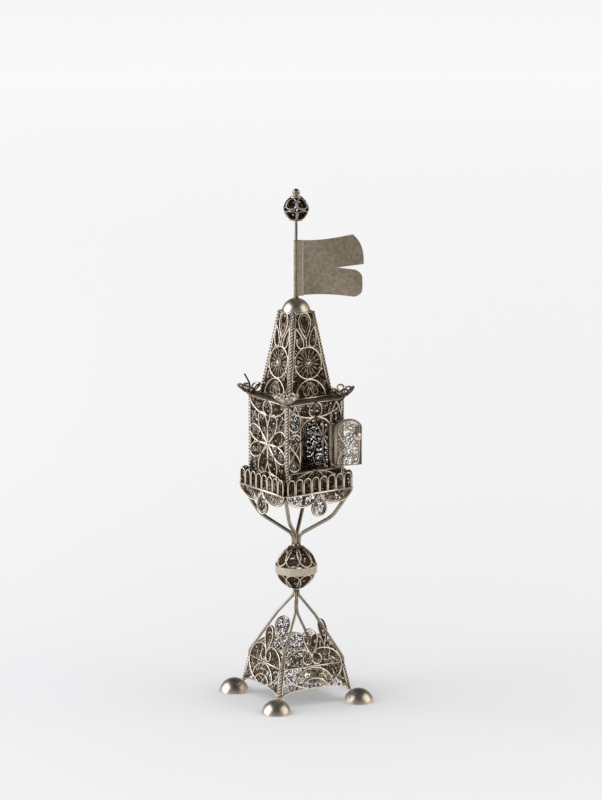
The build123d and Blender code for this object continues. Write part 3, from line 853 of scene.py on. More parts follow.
class Workshop:
    """Makes each finish once and fits every piece to the frame."""

    def __init__(self) -> None:
        """Makes the finishes."""
        self.finishes = {slot: finish.build() for slot, finish in FINISHES.items()}

    def fit(self, mesh: WireMesh, node: str, slot: Slot, body: str = "tower") -> None:
        """Builds a mesh that moves with a body and lets it stand for a node."""
        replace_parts(self.add(mesh, f"{node}_look", slot, body), node)

    def add(self, mesh: WireMesh, name: str, slot: Slot, body: str) -> bpy.types.Object:
        """Builds a mesh as a piece that moves with a body.

        Args:
            mesh: gathered mesh.
            name: name of the piece.
            slot: material slot of its finish.
            body: body that it moves with.

        Returns:
            The piece.
        """
        made = mesh.build(name)
        made.data.materials.append(self.finishes[slot])
        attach(made, body)
        log.info("%s: %d faces", name, len(made.data.polygons))
        return made

    def keep(self, node: str, slot: Slot) -> None:
        """Gives a node of the frame its finish.

        Args:
            node: node that is shown as it is.
            slot: material slot of its finish.
        """
        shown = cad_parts[node]
        shown.data.materials.clear()
        shown.data.materials.append(self.finishes[slot])
        log.info("%s: kept from the frame", node)


def span(node: str) -> tuple[np.ndarray, np.ndarray]:
    """Lowest and highest corner of a node of the frame."""
    low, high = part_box(node)
    return np.array(low) / MM, np.array(high) / MM


# Feet, base and legs


@dataclass(frozen=True)
class Base:
    """Domed feet, splayed panels, twisted corner wires and legs."""

    foot_circle: float = 27.9
    foot_radius: float = 6.5
    foot_height: float = 5.6
    foot_wall: float = 0.5
    foot_sides: int = 64
    low_half: float = 17.0
    top_half: float = 14.8
    turn: float = -6.5
    rope: Rope = Rope()
    inset: float = 1.0
    hem_rise: float = 2.6
    bowl_drop: float = 9.4
    great_arch: tuple[float, float] = (8.9, 8.0)
    great_gap: float = 0.6
    small_arch: tuple[float, float] = (6.0, 4.2)
    lobe_peak: float = 4.4
    lobe_height: float = 7.4
    lobe_curl: float = 2.2
    lobe_wind: float = 250.0
    lobe_steps: tuple[int, int, int] = (16, 12, 20)
    crest_foot: float = 4.6
    crest: tuple[float, float] = (11.2, 6.6)
    seed: int = 100
    rubbed: float = 0.3
    hem_fill: Scrolls = Scrolls((1.5, 1.05, 0.7), 1.3)
    bowl_fill: Scrolls = Scrolls((0.95, 0.7, 0.48), 1.2)
    lobe_fill: Scrolls = Scrolls((1.15, 0.85, 0.6, 0.42))
    leg_radius: float = 0.6
    leg_gap: float = 0.05
    leg_stub: float = 2.0
    leg_crook: float = 10.2
    leg_bow: float = 1.1
    leg_bow_rise: float = 19.8
    leg_bend: float = 7.0
    crooked_legs: tuple[str, str] = ("front_left", "back_right")

    def build(self, shop: Workshop) -> None:
        """Fits all the pieces under the knop.

        Args:
            shop: fits each piece to the frame.
        """
        low, high = span("base_corner_wires")
        bottom, top = low[2], high[2]
        for name, angle in CORNERS.items():
            foot = WireMesh(CREASE)
            centre = spun((self.foot_circle, 0, 0), angle + self.turn)
            dome = dome_profile(self.foot_radius, self.foot_height, self.foot_wall)
            foot.lathe(dome, centre, UP, self.foot_sides)
            shop.fit(foot, f"foot_{name}", Slot.POLISHED)
        for seed, (name, turn) in enumerate(SIDES.items(), self.seed):
            shop.fit(self.panel(turn, bottom, top, seed), f"base_panel_{name}", Slot.FILIGREE)
        ropes = self.rope.up_corners((self.low_half, bottom), (self.top_half, top), self.turn)
        shop.fit(ropes, "base_corner_wires", Slot.FILIGREE)
        self.build_legs(shop, top)

    def build_legs(self, shop: Workshop, top: float) -> None:
        """Fits the legs, two of them crooked under the knop and two bowed.

        Args:
            shop: fits each piece to the frame.
            top: height of the panels' top wires.
        """
        knop_low = span("knop_lower_cap")[0][2]
        reach = self.top_half * math.sqrt(2)
        bundle = self.leg_radius * math.sqrt(2) + self.leg_gap
        foot, head = [(reach, top), (reach, top + self.leg_stub)], [(bundle, knop_low)]
        share = (self.leg_bow_rise - self.leg_stub) / (knop_low - top - 2 * self.leg_stub)
        bow = (reach + (bundle - reach) * share + self.leg_bow, top + self.leg_bow_rise)
        crooked = rounded(foot + [(bundle, knop_low - self.leg_crook)] + head, self.leg_bend)
        bowed = rounded(foot + [bow, (bundle, knop_low - self.leg_stub)] + head, self.leg_bend)
        for name, angle in CORNERS.items():
            path = crooked if name in self.crooked_legs else bowed
            shop.fit(bent_wire(path, angle + self.turn, self.leg_radius), f"leg_{name}", Slot.WIRE)

    def panel(self, turn: float, bottom: float, top: float, seed: int) -> WireMesh:
        """Works one splayed panel; its top wire is local y = 0.

        Args:
            turn: direction of the side.
            bottom: height of the panel's feet.
            top: height of its top wire.
            seed: seed of its scrolls.

        Returns:
            Mesh of the panel.
        """
        splay, height = self.low_half - self.top_half, top - bottom
        lean, slant = math.degrees(math.atan2(splay, height)), math.hypot(splay, height)
        face = FlatFace.of_side(turn + self.turn, self.top_half, top, lean)
        work = Openwork(face, seed, self.rubbed, TAN_SCROLL)
        rim, foot = self.top_half - self.inset, self.low_half - self.inset
        hem = oval((0, -slant + HALF_WIRE), foot, self.hem_rise, 180, 0)
        bowl = oval((0, 0), rim, self.bowl_drop, 180, 360)
        shoulder = self.lobe_height - self.lobe_peak
        rise, fall, curl = self.lobe_steps
        lobe = np.vstack((
            oval((-self.lobe_peak, 0), rim - self.lobe_peak, self.lobe_height, 180, 90, rise)[:-1],
            oval((-self.lobe_peak, shoulder), self.lobe_peak, self.lobe_peak, 90, 0, fall)[:-1],
            oval((-self.lobe_curl, shoulder), self.lobe_curl, self.lobe_curl, 0, -self.lobe_wind, curl)))
        crest = teardrop((0, self.crest_foot), *self.crest, 90)
        great_wide, great_high = self.great_arch
        work.wire(straight((-rim, 0), (rim, 0)))
        work.wire(hem)
        work.wire(bowl)
        work.wire(oval((0, -great_high), great_wide, great_high - self.great_gap, 180, 0))
        work.wire(oval((0, -self.bowl_drop), *self.small_arch, 180, 0))
        work.both(straight((-foot, -slant + HALF_WIRE), (-rim, 0)))
        work.both(lobe)
        work.wire(crest, closed=True)
        work.fill(np.vstack((hem, bowl[::-1])), self.hem_fill)
        work.fill(bowl, self.bowl_fill)
        half_lobe = np.vstack((lobe[:rise + fall], ((0, shoulder), (0, 0))))
        for cell in (half_lobe, mirrored(half_lobe), crest):
            work.fill(cell, self.lobe_fill)
        return work.mesh


# Knop and brackets


@dataclass(frozen=True)
class Knop:
    """Openwork ball with a plain band and plain caps."""

    radius: float = 8.7
    petals: int = 8
    petal_width: float = 6.2
    petal_wire: float = 0.6
    petal_worn: float = 0.85
    depth: float = 1.1
    core_tip: float = 1.6
    core_short: float = 2.6
    core_width: float = 0.55
    pole: float = 0.99
    seed: int = 200
    rubbed: float = 0.1
    petal_fill: Scrolls = Scrolls((0.75, 0.5, 0.36))
    band_sheet: float = 0.5
    band_worn: float = 0.84
    band_sides: int = 64
    cap_arc: tuple[float, float] = (66, 80)
    cap_steps: int = 6
    cap_lip: float = 0.8
    cap_crown: float = 0.5
    cap_sides: int = 40
    stretch: float = 1.12

    def build(self, shop: Workshop) -> None:
        """Fits the ball, its band and its caps.

        Args:
            shop: fits each piece to the frame.
        """
        low, high = span("knop_band")
        centre = (low[2] + high[2]) / 2
        outer = self.radius + self.band_sheet / 2
        inner = outer - self.band_sheet
        band = WireMesh(CREASE, self.band_worn)
        rim = [(inner, low[2]), (outer, low[2]), (outer, high[2]), (inner, high[2])]
        band.lathe([*rim, rim[0]], np.zeros(3), UP, self.band_sides)
        shop.fit(band, "knop_band", Slot.SHEET)
        for half, way in HALVES.items():
            tall = self.stretch if way > 0 else 1.0
            petals = self.petal_ring(f"knop_{half}_petals", centre, way)
            for points in petals.points:
                points[:, 2] = centre + (points[:, 2] - centre) * tall
            shop.fit(petals, f"knop_{half}_petals", Slot.FILIGREE)
            turning = self.cap_profile(f"knop_{half}_cap", centre, way)
            turning[:, 1] = centre + (turning[:, 1] - centre) * tall
            cap = WireMesh(CREASE)
            cap.lathe(turning, np.zeros(3), UP, self.cap_sides)
            shop.fit(cap, f"knop_{half}_cap", Slot.WIRE)

    def cap_profile(self, node: str, centre: float, way: float) -> np.ndarray:
        """Measures a cap that lies on the ball.

        Args:
            node: node of the cap.
            centre: height of the ball's middle.
            way: 1 for the upper half of the ball and -1 for the lower.

        Returns:
            Reach and height of each point of its profile.
        """
        low, high = span(node)
        outer = self.radius + self.band_sheet / 2
        edge = (high[0] - low[0]) / 2
        near, far = (high[2], low[2]) if way < 0 else (low[2], high[2])
        rise = np.radians(np.linspace(*self.cap_arc, self.cap_steps))
        skin = np.column_stack((outer * np.cos(rise), centre + way * outer * np.sin(rise)))
        return np.vstack(((edge * self.cap_lip, near), skin, (edge * self.cap_crown, far), (0, far)))

    def petal_ring(self, node: str, centre: float, way: float) -> WireMesh:
        """Works the ring of filled petals over one half of the ball.

        Args:
            node: node of the petals.
            centre: height of the ball's middle.
            way: 1 for the upper half of the ball and -1 for the lower.

        Returns:
            Mesh of the petals.
        """
        foot, reach = sorted(abs(corner[2] - centre) for corner in span(node))
        ball = self.radius - self.depth / 2
        start, end = ball * math.asin(foot / ball), ball * math.asin(min(reach / ball, self.pole))
        wire = Section.ribbon(self.petal_wire, self.depth, 0.0, self.petal_worn)
        mesh = WireMesh()
        for i in range(self.petals):
            work = Openwork(BallFace(centre, ball, 360 * i / self.petals, way), self.seed + i, self.rubbed)
            work.mesh = mesh
            outline = teardrop((0, end), end - start, self.petal_width, -90)
            work.wire(outline, wire, True)
            core = (end - start - self.core_short, self.petal_width * self.core_width)
            work.wire(teardrop((0, end - self.core_tip), *core, -90), DULL_SCROLL, True)
            work.fill(outline, self.petal_fill)
        return mesh


@dataclass(frozen=True)
class Brackets:
    """Four wires that rise as a bundle and flare to the corners of the floor."""

    radius: float = 0.8
    gap: float = 0.05
    bundle: float = 5.0
    knee: tuple[float, float] = (15.6, 13.6)
    knee_bend: float = 14.0
    tip: float = 2.4
    bend: float = 6.0

    def build(self, shop: Workshop) -> None:
        """Fits the four wires.

        Args:
            shop: fits each piece to the frame.
        """
        low, high = span("bracket_front_right")
        bottom, top = low[2], high[2]
        reach = (high[0] - self.radius) * math.sqrt(2)
        start = self.radius * math.sqrt(2) + self.gap
        knee = (self.knee[0], bottom + self.knee[1])
        stem = [(start, bottom), (start, bottom + self.bundle)]
        flare = [knee, (reach, top - self.tip), (reach, top)]
        path = rounded(stem + flare, (self.bend, self.knee_bend, self.bend))
        for name, angle in CORNERS.items():
            shop.fit(bent_wire(path, angle, self.radius), f"bracket_{name}", Slot.WIRE)


# Gallery and box


@dataclass(frozen=True)
class Gallery:
    """Rail with round-headed loops above it, swags and a teardrop below."""

    loops: int = 8
    height: float = 7.2
    loop_gap: float = 0.32
    loop_foot: float = 0.2
    loop_steps: int = 12
    swag_drop: float = 5.3
    swag_border: tuple[float, float] = (1.0, 0.8)
    drop: tuple[float, float] = (10.2, 7.0)
    drop_tip: float = 1.6
    drop_border: tuple[float, float] = (2.4, 1.6)
    swag_seed: int = 300
    swag_rubbed: float = 0.45
    swag_fill: Scrolls = Scrolls((1.05, 0.75, 0.52))
    loop_seed: int = 310
    loop_rubbed: float = 0.25
    loop_fill: Scrolls = Scrolls((0.8, 0.55, 0.38), 1.2)

    def build(self, shop: Workshop) -> None:
        """Fits the four sides and the floor that they stand round.

        Args:
            shop: fits each piece to the frame.
        """
        low, high = span("gallery_front")
        floor_low, floor_high = span("box_floor")
        half = -(low[1] + high[1]) / 2
        z = (floor_low[2] + floor_high[2]) / 2
        for i, (name, turn) in enumerate(SIDES.items()):
            face = FlatFace.of_side(turn, half, z)
            work = Openwork(face, self.swag_seed + i, self.swag_rubbed, TAN_SCROLL)
            loops = Openwork(face, self.loop_seed + i, self.loop_rubbed)
            loops.mesh, loops.lines = work.mesh, work.lines
            self.side(work, loops, high[0])
            shop.fit(work.mesh, f"gallery_{name}", Slot.FILIGREE)
        # The floor carries no glint, so the sheet finish draws it in its dark oxide colours, which also stand
        # in as painted shade inside the box.
        shop.keep("box_floor", Slot.SHEET)

    def side(self, work: Openwork, loops: Openwork, half: float) -> None:
        """Works one side; the rail is local y = 0.

        Args:
            work: takes the wires and fills what hangs under the rail.
            loops: fills the loops above the rail, darker.
            half: half the length of the rail.
        """
        pitch = 2 * (half - HALF_WIRE) / self.loops
        head = pitch / 2 - self.loop_gap
        work.wire(straight((-half, 0), (half, 0)), RAIL_WIRE)
        for i in range(self.loops):
            x = pitch * (i + 0.5 - self.loops / 2)
            top = oval((x, self.height - head - HALF_WIRE), head, head, 180, 0, self.loop_steps)
            loop = np.vstack(((x - head, self.loop_foot), top, (x + head, self.loop_foot)))
            work.wire(loop, LOOP_WIRE)
            loops.fill(loop, self.loop_fill)
        swag = oval((-half / 2, 0), half / 2 - HALF_WIRE, self.swag_drop, 180, 360)
        side, foot = self.swag_border
        inner = oval((-half / 2, 0), half / 2 - side, self.swag_drop - foot, 180, 360)
        drop = teardrop((0, 0), *self.drop, -90)
        core = [size - border for size, border in zip(self.drop, self.drop_border)]
        work.both(swag)
        work.both(inner, INNER_WIRE)
        work.wire(drop, closed=True)
        work.wire(teardrop((0, -self.drop_tip), *core, -90), INNER_WIRE, True)
        for cell in (inner, mirrored(inner), drop):
            work.fill(cell, self.swag_fill)


@dataclass(frozen=True)
class Box:
    """Spice box: three flower walls, the front wall round the doorway, and corner posts."""

    rope: Rope = Rope()
    post_half: float = 14.15
    frieze_drop: float = 6.6
    petals: int = 8
    slimness: float = 0.43
    granule: float = 1.0
    sill: float = 9.3
    doorway: float = 6.7
    spring: float = 25.7
    head: float = 4.7
    strip: float = 0.7
    strip_depth: float = 0.9
    strip_worn: float = 0.5
    crown_gap: float = 0.35
    leaf_gap: float = 0.6
    head_steps: int = 20
    wall_seed: int = 400
    front_seed: int = 420
    pier_seed: int = 430

    def build(self, shop: Workshop) -> None:
        """Fits the walls, the posts and the door.

        Args:
            shop: fits each piece to the frame.
        """
        low, high = span("wall_back")
        rim, height, bottom = high[0] - HALF_WIRE, high[2] - low[2], low[2]
        for seed, name in enumerate(("right", "back", "left"), self.wall_seed):
            work = self.face(SIDES[name], bottom, seed)
            self.flower_wall(work, rim, height)
            shop.fit(work.mesh, f"wall_{name}", Slot.FILIGREE)
        for name, angle in CORNERS.items():
            post = WireMesh()
            ends = [corner_point(angle, self.post_half, z) for z in (bottom, bottom + height)]
            self.rope.twist(post, *ends)
            shop.fit(post, f"post_{name}", Slot.FILIGREE)
        parts = {"front_sill_panel": self.sill_panel, "front_lintel": self.lintel,
                 "door_frame": self.door_frame}
        for seed, (node, draw) in enumerate(parts.items(), self.front_seed):
            work = self.face(SIDES["front"], bottom, seed)
            draw(work, rim, height)
            shop.fit(work.mesh, node, Slot.FILIGREE)
        for seed, (name, side) in enumerate((("left", -1.0), ("right", 1.0)), self.pier_seed):
            work = self.face(SIDES["front"], bottom, seed)
            self.pier(work, rim, side)
            shop.fit(work.mesh, f"front_{name}_pier", Slot.FILIGREE)
        Door(self).build(shop, bottom)

    def face(self, turn: float, bottom: float, seed: int) -> Openwork:
        """Work laid out on one wall; the floor is local y = 0."""
        return Openwork(FlatFace.of_side(turn, self.post_half, bottom), seed)

    def frieze(self, work: Openwork, rim: float, top: float, drop: float) -> None:
        """Lays a swag and a ring under a wire; a negative drop stands them on it."""
        work.wire(oval((0, top), rim, drop, 180, 360))
        work.wire(ring((0, top - drop / 2), abs(drop) / 2), closed=True)

    def flower_wall(self, work: Openwork, rim: float, height: float) -> None:
        """Works a plain wall with a flower between two friezes.

        Args:
            work: takes the wires.
            rim: distance of the upright wires from the middle.
            height: height of the wall.
        """
        low, top = HALF_WIRE, height - HALF_WIRE
        corners = ((-rim, low), (rim, low), (rim, top), (-rim, top))
        work.frame(corners)
        self.frieze(work, rim, top, self.frieze_drop)
        self.frieze(work, rim, low, -self.frieze_drop)
        step = 360 / self.petals
        centre = (0, height / 2)
        length = rim / teardrop((0, 0), 1, self.slimness, step / 2)[:, 0].max()
        for i in range(self.petals):
            work.wire(teardrop(centre, length, length * self.slimness, step * (i + 0.5)), closed=True)
        work.granule(centre, self.granule)
        work.fill(np.array(corners))

    def sill_panel(self, work: Openwork, rim: float, height: float) -> None:
        """Works the panel under the doorway.

        Args:
            work: takes the wires.
            rim: distance of the upright wires from the middle.
            height: height of the wall, which this panel doesn't need.
        """
        low, top = HALF_WIRE, self.sill - self.strip - HALF_WIRE
        corners = ((-rim, low), (rim, low), (rim, top), (-rim, top))
        work.frame(corners)
        self.frieze(work, rim, low, -(top - low))
        work.fill(np.array(corners))

    def pier(self, work: Openwork, rim: float, side: float) -> None:
        """Works an upright panel beside the doorway, with two leaves tip to tip.

        Args:
            work: takes the wires.
            rim: distance of the outer wire from the middle.
            side: 1 for the right pier and -1 for the left.
        """
        inner = self.doorway + self.strip + HALF_WIRE
        low, top = self.sill - self.strip, self.spring
        middle, half = (rim + inner) / 2, (top - low) / 2
        for x in (inner, rim):
            work.wire(straight((side * x, low), (side * x, top)))
        for way in (90, -90):
            leaf = teardrop((side * middle, low + half), half - self.leaf_gap, rim - inner, way)
            work.wire(leaf, closed=True)
        work.fill(np.array(((side * inner, low), (side * rim, low), (side * rim, top), (side * inner, top))))

    def lintel(self, work: Openwork, rim: float, height: float) -> None:
        """Works the frieze over the doorway, with an arched wire and a leaf at each side.

        Args:
            work: takes the wires.
            rim: distance of the upright wires from the middle.
            height: height of the wall.
        """
        top = height - HALF_WIRE
        arch, rise = self.doorway + self.strip + self.crown_gap, self.head + self.strip + self.crown_gap
        crown = oval((0, self.spring), arch, rise, 180, 0)
        work.wire(straight((-rim, top), (rim, top)))
        work.both(straight((-rim, self.spring), (-rim, top)))
        work.wire(crown)
        self.frieze(work, rim, top, top - self.spring - rise)
        leaf_length = top - self.spring - 2 * self.leaf_gap
        leaf = teardrop((-(rim + arch) / 2, top - self.leaf_gap), leaf_length, rim - arch, -90)
        work.both(leaf, closed=True)
        work.fill(np.vstack((crown, ((rim, self.spring), (rim, top), (-rim, top), (-rim, self.spring)))))

    def arched(self, half: float, low: float, head: float) -> np.ndarray:
        """Outline of the doorway or of its leaf, from the lower left up and over to the lower right."""
        crown = oval((0, self.spring), half, head, 180, 0, self.head_steps)
        return np.vstack(((-half, low), crown, (half, low)))

    def door_frame(self, work: Openwork, rim: float, height: float) -> None:
        """Works the plain strip round the doorway.

        Args:
            work: takes the strip.
            rim: distance of the wall's edge, which the strip doesn't need.
            height: height of the wall, which the strip doesn't need.
        """
        half, low = self.doorway + self.strip / 2, self.sill - self.strip / 2
        strip = Section.ribbon(self.strip, self.strip_depth, 0.0, self.strip_worn)
        work.wire(self.arched(half, low, self.head + self.strip / 2), strip)
        work.wire(straight((-half, low), (half, low)), strip)


@dataclass(frozen=True)
class Door:
    """Round-headed leaf of wires on its hinge, with the catch near its free edge."""

    box: Box
    open_angle: float = 166.0
    gap: float = 0.3
    rim: float = 0.8
    depth: float = 0.8
    rim_wire: Section = Section.ribbon(0.55, 0.8, 0.3, 0.72)
    border_wire: Section = Section.ribbon(1.2, 0.4, 0.5, 0.76)
    border_inset: tuple[float, float, float] = (0.7, 0.2, 0.6)
    inner_inset: tuple[float, float, float] = (1.3, 0.2, 1.1)
    border: float = 0.8
    crown_wire: Section = Section.ribbon(0.6, 1.0)
    crown_inset: float = 3.4
    crown_steps: int = 90
    arch_inset: float = 1.4
    seed: int = 440
    leaf_fill: Scrolls = Scrolls((1.1, 0.8, 0.55, 0.4), 1.5)
    catch: tuple[float, float] = (-3.8, 22.3)
    eyelet: float = 0.9
    rivet: float = 1.9
    rivet_rise: float = 0.6
    rivet_wall: float = 0.4
    rivet_lift: float = 0.3
    rivet_worn: float = 0.95
    rivet_sides: int = 32

    def build(self, shop: Workshop, bottom: float) -> None:
        """Fits the leaf, as far open as the frame has it, its hinge and its catch.

        Args:
            shop: fits each piece to the frame.
            bottom: height of the box floor.
        """
        pivot = sum(span("hinge_pin")) / 2
        wall_low = span("door_frame")[0][1]
        face = FlatFace.of_side(0.0, -wall_low - self.depth / 2, bottom).swung(pivot, self.open_angle)
        shop.fit(self.leaf(face), "door_leaf", Slot.FILIGREE, "door")
        for node in ("hinge_fixed_knuckles", "hinge_pin", "door_knuckle", "catch_tongue"):
            shop.keep(node, Slot.WIRE)
        shop.keep("catch_knob", Slot.POLISHED)
        inward = spun((0, 1, 0), self.open_angle)
        middle = sum(span("catch_tongue")) / 2
        middle[2] = sum(span("catch_knob"))[2] / 2
        rivet = WireMesh(CREASE, self.rivet_worn)
        dome = dome_profile(self.rivet, self.rivet * self.rivet_rise, self.rivet * self.rivet_wall)
        rivet.lathe(dome, middle + inward * self.rivet_lift, inward, self.rivet_sides)
        shop.add(rivet, "catch_rivet", Slot.SHEET, "catch")

    def leaf(self, face: FlatFace) -> WireMesh:
        """Works the leaf, with an eyelet between its wires for the catch's spindle.

        Args:
            face: face of the leaf; the box floor is local y = 0.

        Returns:
            Mesh of the leaf.
        """
        box, border = self.box, self.border
        half, low = box.doorway - self.gap - self.rim / 2, box.sill + self.gap + self.rim / 2
        head = box.head - self.gap - self.rim / 2
        # The leaf is filled only with the scrolls that are drawn bright all round, as painted light.
        work = Openwork(face, self.seed, rubbed=0.0, dull=LIT_WARM_SCROLL)
        work.wire(box.arched(half, low, head), self.rim_wire)
        work.wire(straight((-half, low), (half, low)), self.rim_wire)
        borders = ((self.border_wire, self.border_inset), (INNER_WIRE, self.inner_inset))
        for wire, (side, foot, crown) in borders:
            work.wire(box.arched(half - side, low + foot, head - crown), wire)
        middle, top = (low + box.spring) / 2, box.spring + head - border
        crown = teardrop((0, middle), top - middle, 2 * half - self.crown_inset, 90, self.crown_steps)
        off = np.linalg.norm(crown - self.catch, axis=1)
        crown, off = (np.roll(values, -off.argmin(), axis=0) for values in (crown, off))
        work.wire(crown[off > self.eyelet], self.crown_wire)
        work.wire(ring(self.catch, self.eyelet), INNER_WIRE, True)
        work.lines.append(ring(self.catch, self.eyelet / 2))
        work.wire(oval((0, low + border), half - self.arch_inset, middle - low - border, 180, 0))
        work.wire(oval((0, low + border), half / 2, (middle - low) / 2, 180, 0), INNER_WIRE)
        work.fill(box.arched(half - border, low + border, head - border), self.leaf_fill)
        return work.mesh


# Roof and spire


@dataclass(frozen=True)
class Roof:
    """Plain roof plate with a cup of wire loops on each corner."""

    shaded_plate_glint: float = 0.12
    loops: int = 8
    circle: float = 20.1
    hub: float = 1.4
    hub_rise: float = 0.9
    hub_arc: tuple[float, float] = (0, 89)
    hub_steps: int = 10
    hub_sides: int = 20
    loop: tuple[float, float] = (4.3, 2.8)
    wire: float = 0.43
    wire_corners: int = 8
    cup: float = 42.0
    bent: float = 13.0
    # The loops of the front-left cup are drawn with a brighter outer side than those of the other three cups.
    dull: float = 0.25
    rubbed: float = 0.7
    bright_cup: str = "front_left"
    stray_cup: str = "back_left"
    stray: tuple[float, float] = (2.1, 8.0)
    stray_turn: float = -34.0
    stray_wire: float = 0.8
    stray_worn: float = 0.5

    def build(self, shop: Workshop) -> None:
        """Fits the plate and the rosettes.

        Args:
            shop: fits each piece to the frame.
        """
        low, high = span("roof_plate")
        top = high[2]
        # The plate is drawn close to its darkest oxide colour: painted shade over its top and edges.
        plate = WireMesh(CREASE, self.shaded_plate_glint)
        corners = [[(x, y, (low[2] + top) / 2) for x in (low[0], high[0])] for y in (low[1], high[1])]
        plate.sheet(np.array(corners), UP, top - low[2])
        shop.fit(plate, "roof_plate", Slot.SHEET)
        for name, angle in CORNERS.items():
            centre = spun((self.circle, 0, top), angle)
            cup = self.rosette(centre, angle, self.rubbed if name == self.bright_cup else self.dull)
            if name == self.stray_cup:
                self.stray_end(cup, centre)
            shop.fit(cup, f"rosette_{name}", Slot.FILIGREE)

    def stray_end(self, cup: WireMesh, centre: np.ndarray) -> None:
        """Adds the sprung end of a loop that stands up out of a cup.

        Args:
            cup: mesh of the cup.
            centre: foot of the cup.
        """
        side = spun((-1, 0, 0), self.stray_turn)
        reach, rise = self.stray
        line = np.array([centre + UP * self.wire, centre + UP * rise / 2, centre + UP * rise + side * reach])
        facing = np.tile(np.cross(side, UP), (len(line), 1))
        section = Section.round(self.wire * self.stray_wire, self.wire_corners, 0.0, self.stray_worn)
        cup.sweep(line, facing, section)

    def rosette(self, centre: np.ndarray, angle: float, outside: float) -> WireMesh:
        """Bends a cup of loops round a small granule, no two of them alike.

        Args:
            centre: foot of the cup.
            angle: direction of the corner.
            outside: glint on the outer side of the cup.

        Returns:
            Mesh of the cup.
        """
        mesh = WireMesh()
        section = Section.round(self.wire, self.wire_corners, outside, 1.0)
        outline = teardrop((0, 0), *self.loop, 0)
        random = np.random.default_rng(round(angle))
        for i in range(self.loops):
            tilt = math.radians(self.cup + random.uniform(-self.bent, self.bent))
            turn = angle + 360 * (i + 0.5) / self.loops + random.uniform(-self.bent, self.bent) / 2
            out = spun((math.cos(tilt), 0, math.sin(tilt)), turn)
            side = spun((0, 1, 0), turn)
            start = centre + spun((self.hub + self.wire, 0, self.wire), turn)
            line = start + outline[:, :1] * out + outline[:, 1:] * side
            mesh.sweep(line, np.tile(np.cross(out, side), (len(line), 1)), section, True)
        arc = np.radians(np.linspace(*self.hub_arc, self.hub_steps))
        profile = np.column_stack((self.hub * np.cos(arc), self.hub_rise * self.hub * np.sin(arc)))
        mesh.lathe(profile, centre, UP, self.hub_sides)
        return mesh


@dataclass(frozen=True)
class Spire:
    """Tapered openwork spire with twisted corners."""

    low_half: float = 10.85
    top_half: float = 5.2
    inset: float = 1.0
    rope: Rope = Rope()
    wheel_centre: float = 14.9
    wheel_radius: float = 6.7
    wheel_steps: int = 40
    hub: float = 1.5
    hub_steps: int = 16
    spokes: int = 16
    spoke_gap: float = 0.2
    hub_granule: float = 1.0
    granule: float = 0.6
    granule_gap: float = 0.5
    granule_angles: tuple[float, ...] = (25, 155, 205, 335)
    foot_arch: tuple[float, float] = (7.4, 7.6)
    trefoil: tuple[float, ...] = (-62, -90, -118)
    trefoil_tip: float = 0.6
    trefoil_short: float = 1.4
    trefoil_width: float = 2.9
    drop: tuple[float, float] = (11.0, 6.0)
    drop_tip: float = 2.6
    drop_border: tuple[float, float] = (3.6, 2.0)
    leaf: tuple[float, float] = (9.0, 3.4)
    leaf_angle: float = -76.0
    leaf_sink: float = 0.6
    leaf_inset: float = 0.5
    seed: int = 500
    rubbed: float = 0.2

    def build(self, shop: Workshop) -> None:
        """Fits the four faces and their corners.

        Args:
            shop: fits each piece to the frame.
        """
        low, high = span("spire_corner_wires")
        bottom, top = low[2], high[2]
        for seed, (name, turn) in enumerate(SIDES.items(), self.seed):
            shop.fit(self.panel(turn, bottom, top, seed), f"spire_panel_{name}", Slot.FILIGREE)
        ropes = self.rope.up_corners((self.low_half, bottom), (self.top_half, top))
        shop.fit(ropes, "spire_corner_wires", Slot.FILIGREE)

    def panel(self, turn: float, bottom: float, top: float, seed: int) -> WireMesh:
        """Works one face; the roof is local y = 0.

        Args:
            turn: direction of the side.
            bottom: height of the roof.
            top: height of the spire's upper end.
            seed: seed of its scrolls.

        Returns:
            Mesh of the face.
        """
        shrink = self.low_half - self.top_half
        slant = math.hypot(shrink, top - bottom)
        lean = math.degrees(math.atan2(shrink, top - bottom))
        work = Openwork(FlatFace.of_side(turn, self.low_half, bottom, lean), seed, self.rubbed)

        def rim(y: float) -> float:
            """Distance of the corner wire from the middle at a height on the face."""
            return self.low_half - self.inset - shrink * y / slant

        low, high = HALF_WIRE, slant - HALF_WIRE
        corners = ((-rim(low), low), (rim(low), low), (rim(high), high), (-rim(high), high))
        work.frame(corners)
        self.wheel(work)
        arch_wide, arch_high = self.foot_arch
        work.wire(oval((0, low), arch_wide, arch_high, 180, 0))
        petal = (arch_high - self.trefoil_short, self.trefoil_width)
        for angle in self.trefoil:
            work.wire(teardrop((0, arch_high - self.trefoil_tip), *petal, angle), INNER_WIRE, True)
        tip, wheel_top = high - self.drop[0], self.wheel_centre + self.wheel_radius
        core = [size - border for size, border in zip(self.drop, self.drop_border)]
        work.wire(teardrop((0, tip), *self.drop, 90), closed=True)
        work.wire(teardrop((0, tip + self.drop_tip), *core, 90), INNER_WIRE, True)
        work.wire(straight((0, tip), (0, wheel_top)))
        leaf_tip = wheel_top + self.leaf[0] - self.leaf_sink
        leaf_foot = (self.leaf_inset - rim(leaf_tip), leaf_tip)
        work.both(teardrop(leaf_foot, *self.leaf, self.leaf_angle), closed=True)
        work.fill(np.array(corners))
        return work.mesh

    def wheel(self, work: Openwork) -> None:
        """Works the spoked wheel with its granules.

        Args:
            work: takes the wires.
        """
        centre = (0.0, self.wheel_centre)
        work.wire(ring(centre, self.wheel_radius, self.wheel_steps), closed=True)
        work.wire(ring(centre, self.hub, self.hub_steps), INNER_WIRE, True)
        spoke = np.array(((self.hub, 0.0), (self.wheel_radius - self.spoke_gap, 0.0)))
        for i in range(self.spokes):
            work.wire(turned(spoke, 360 * (i + 0.5) / self.spokes, centre), INNER_WIRE)
        work.granule(centre, self.hub_granule)
        outside = np.array(((self.wheel_radius + self.granule_gap, 0.0),))
        for angle in self.granule_angles:
            work.granule(turned(outside, angle, centre)[0], self.granule)


# Cap, staff, flag and finial


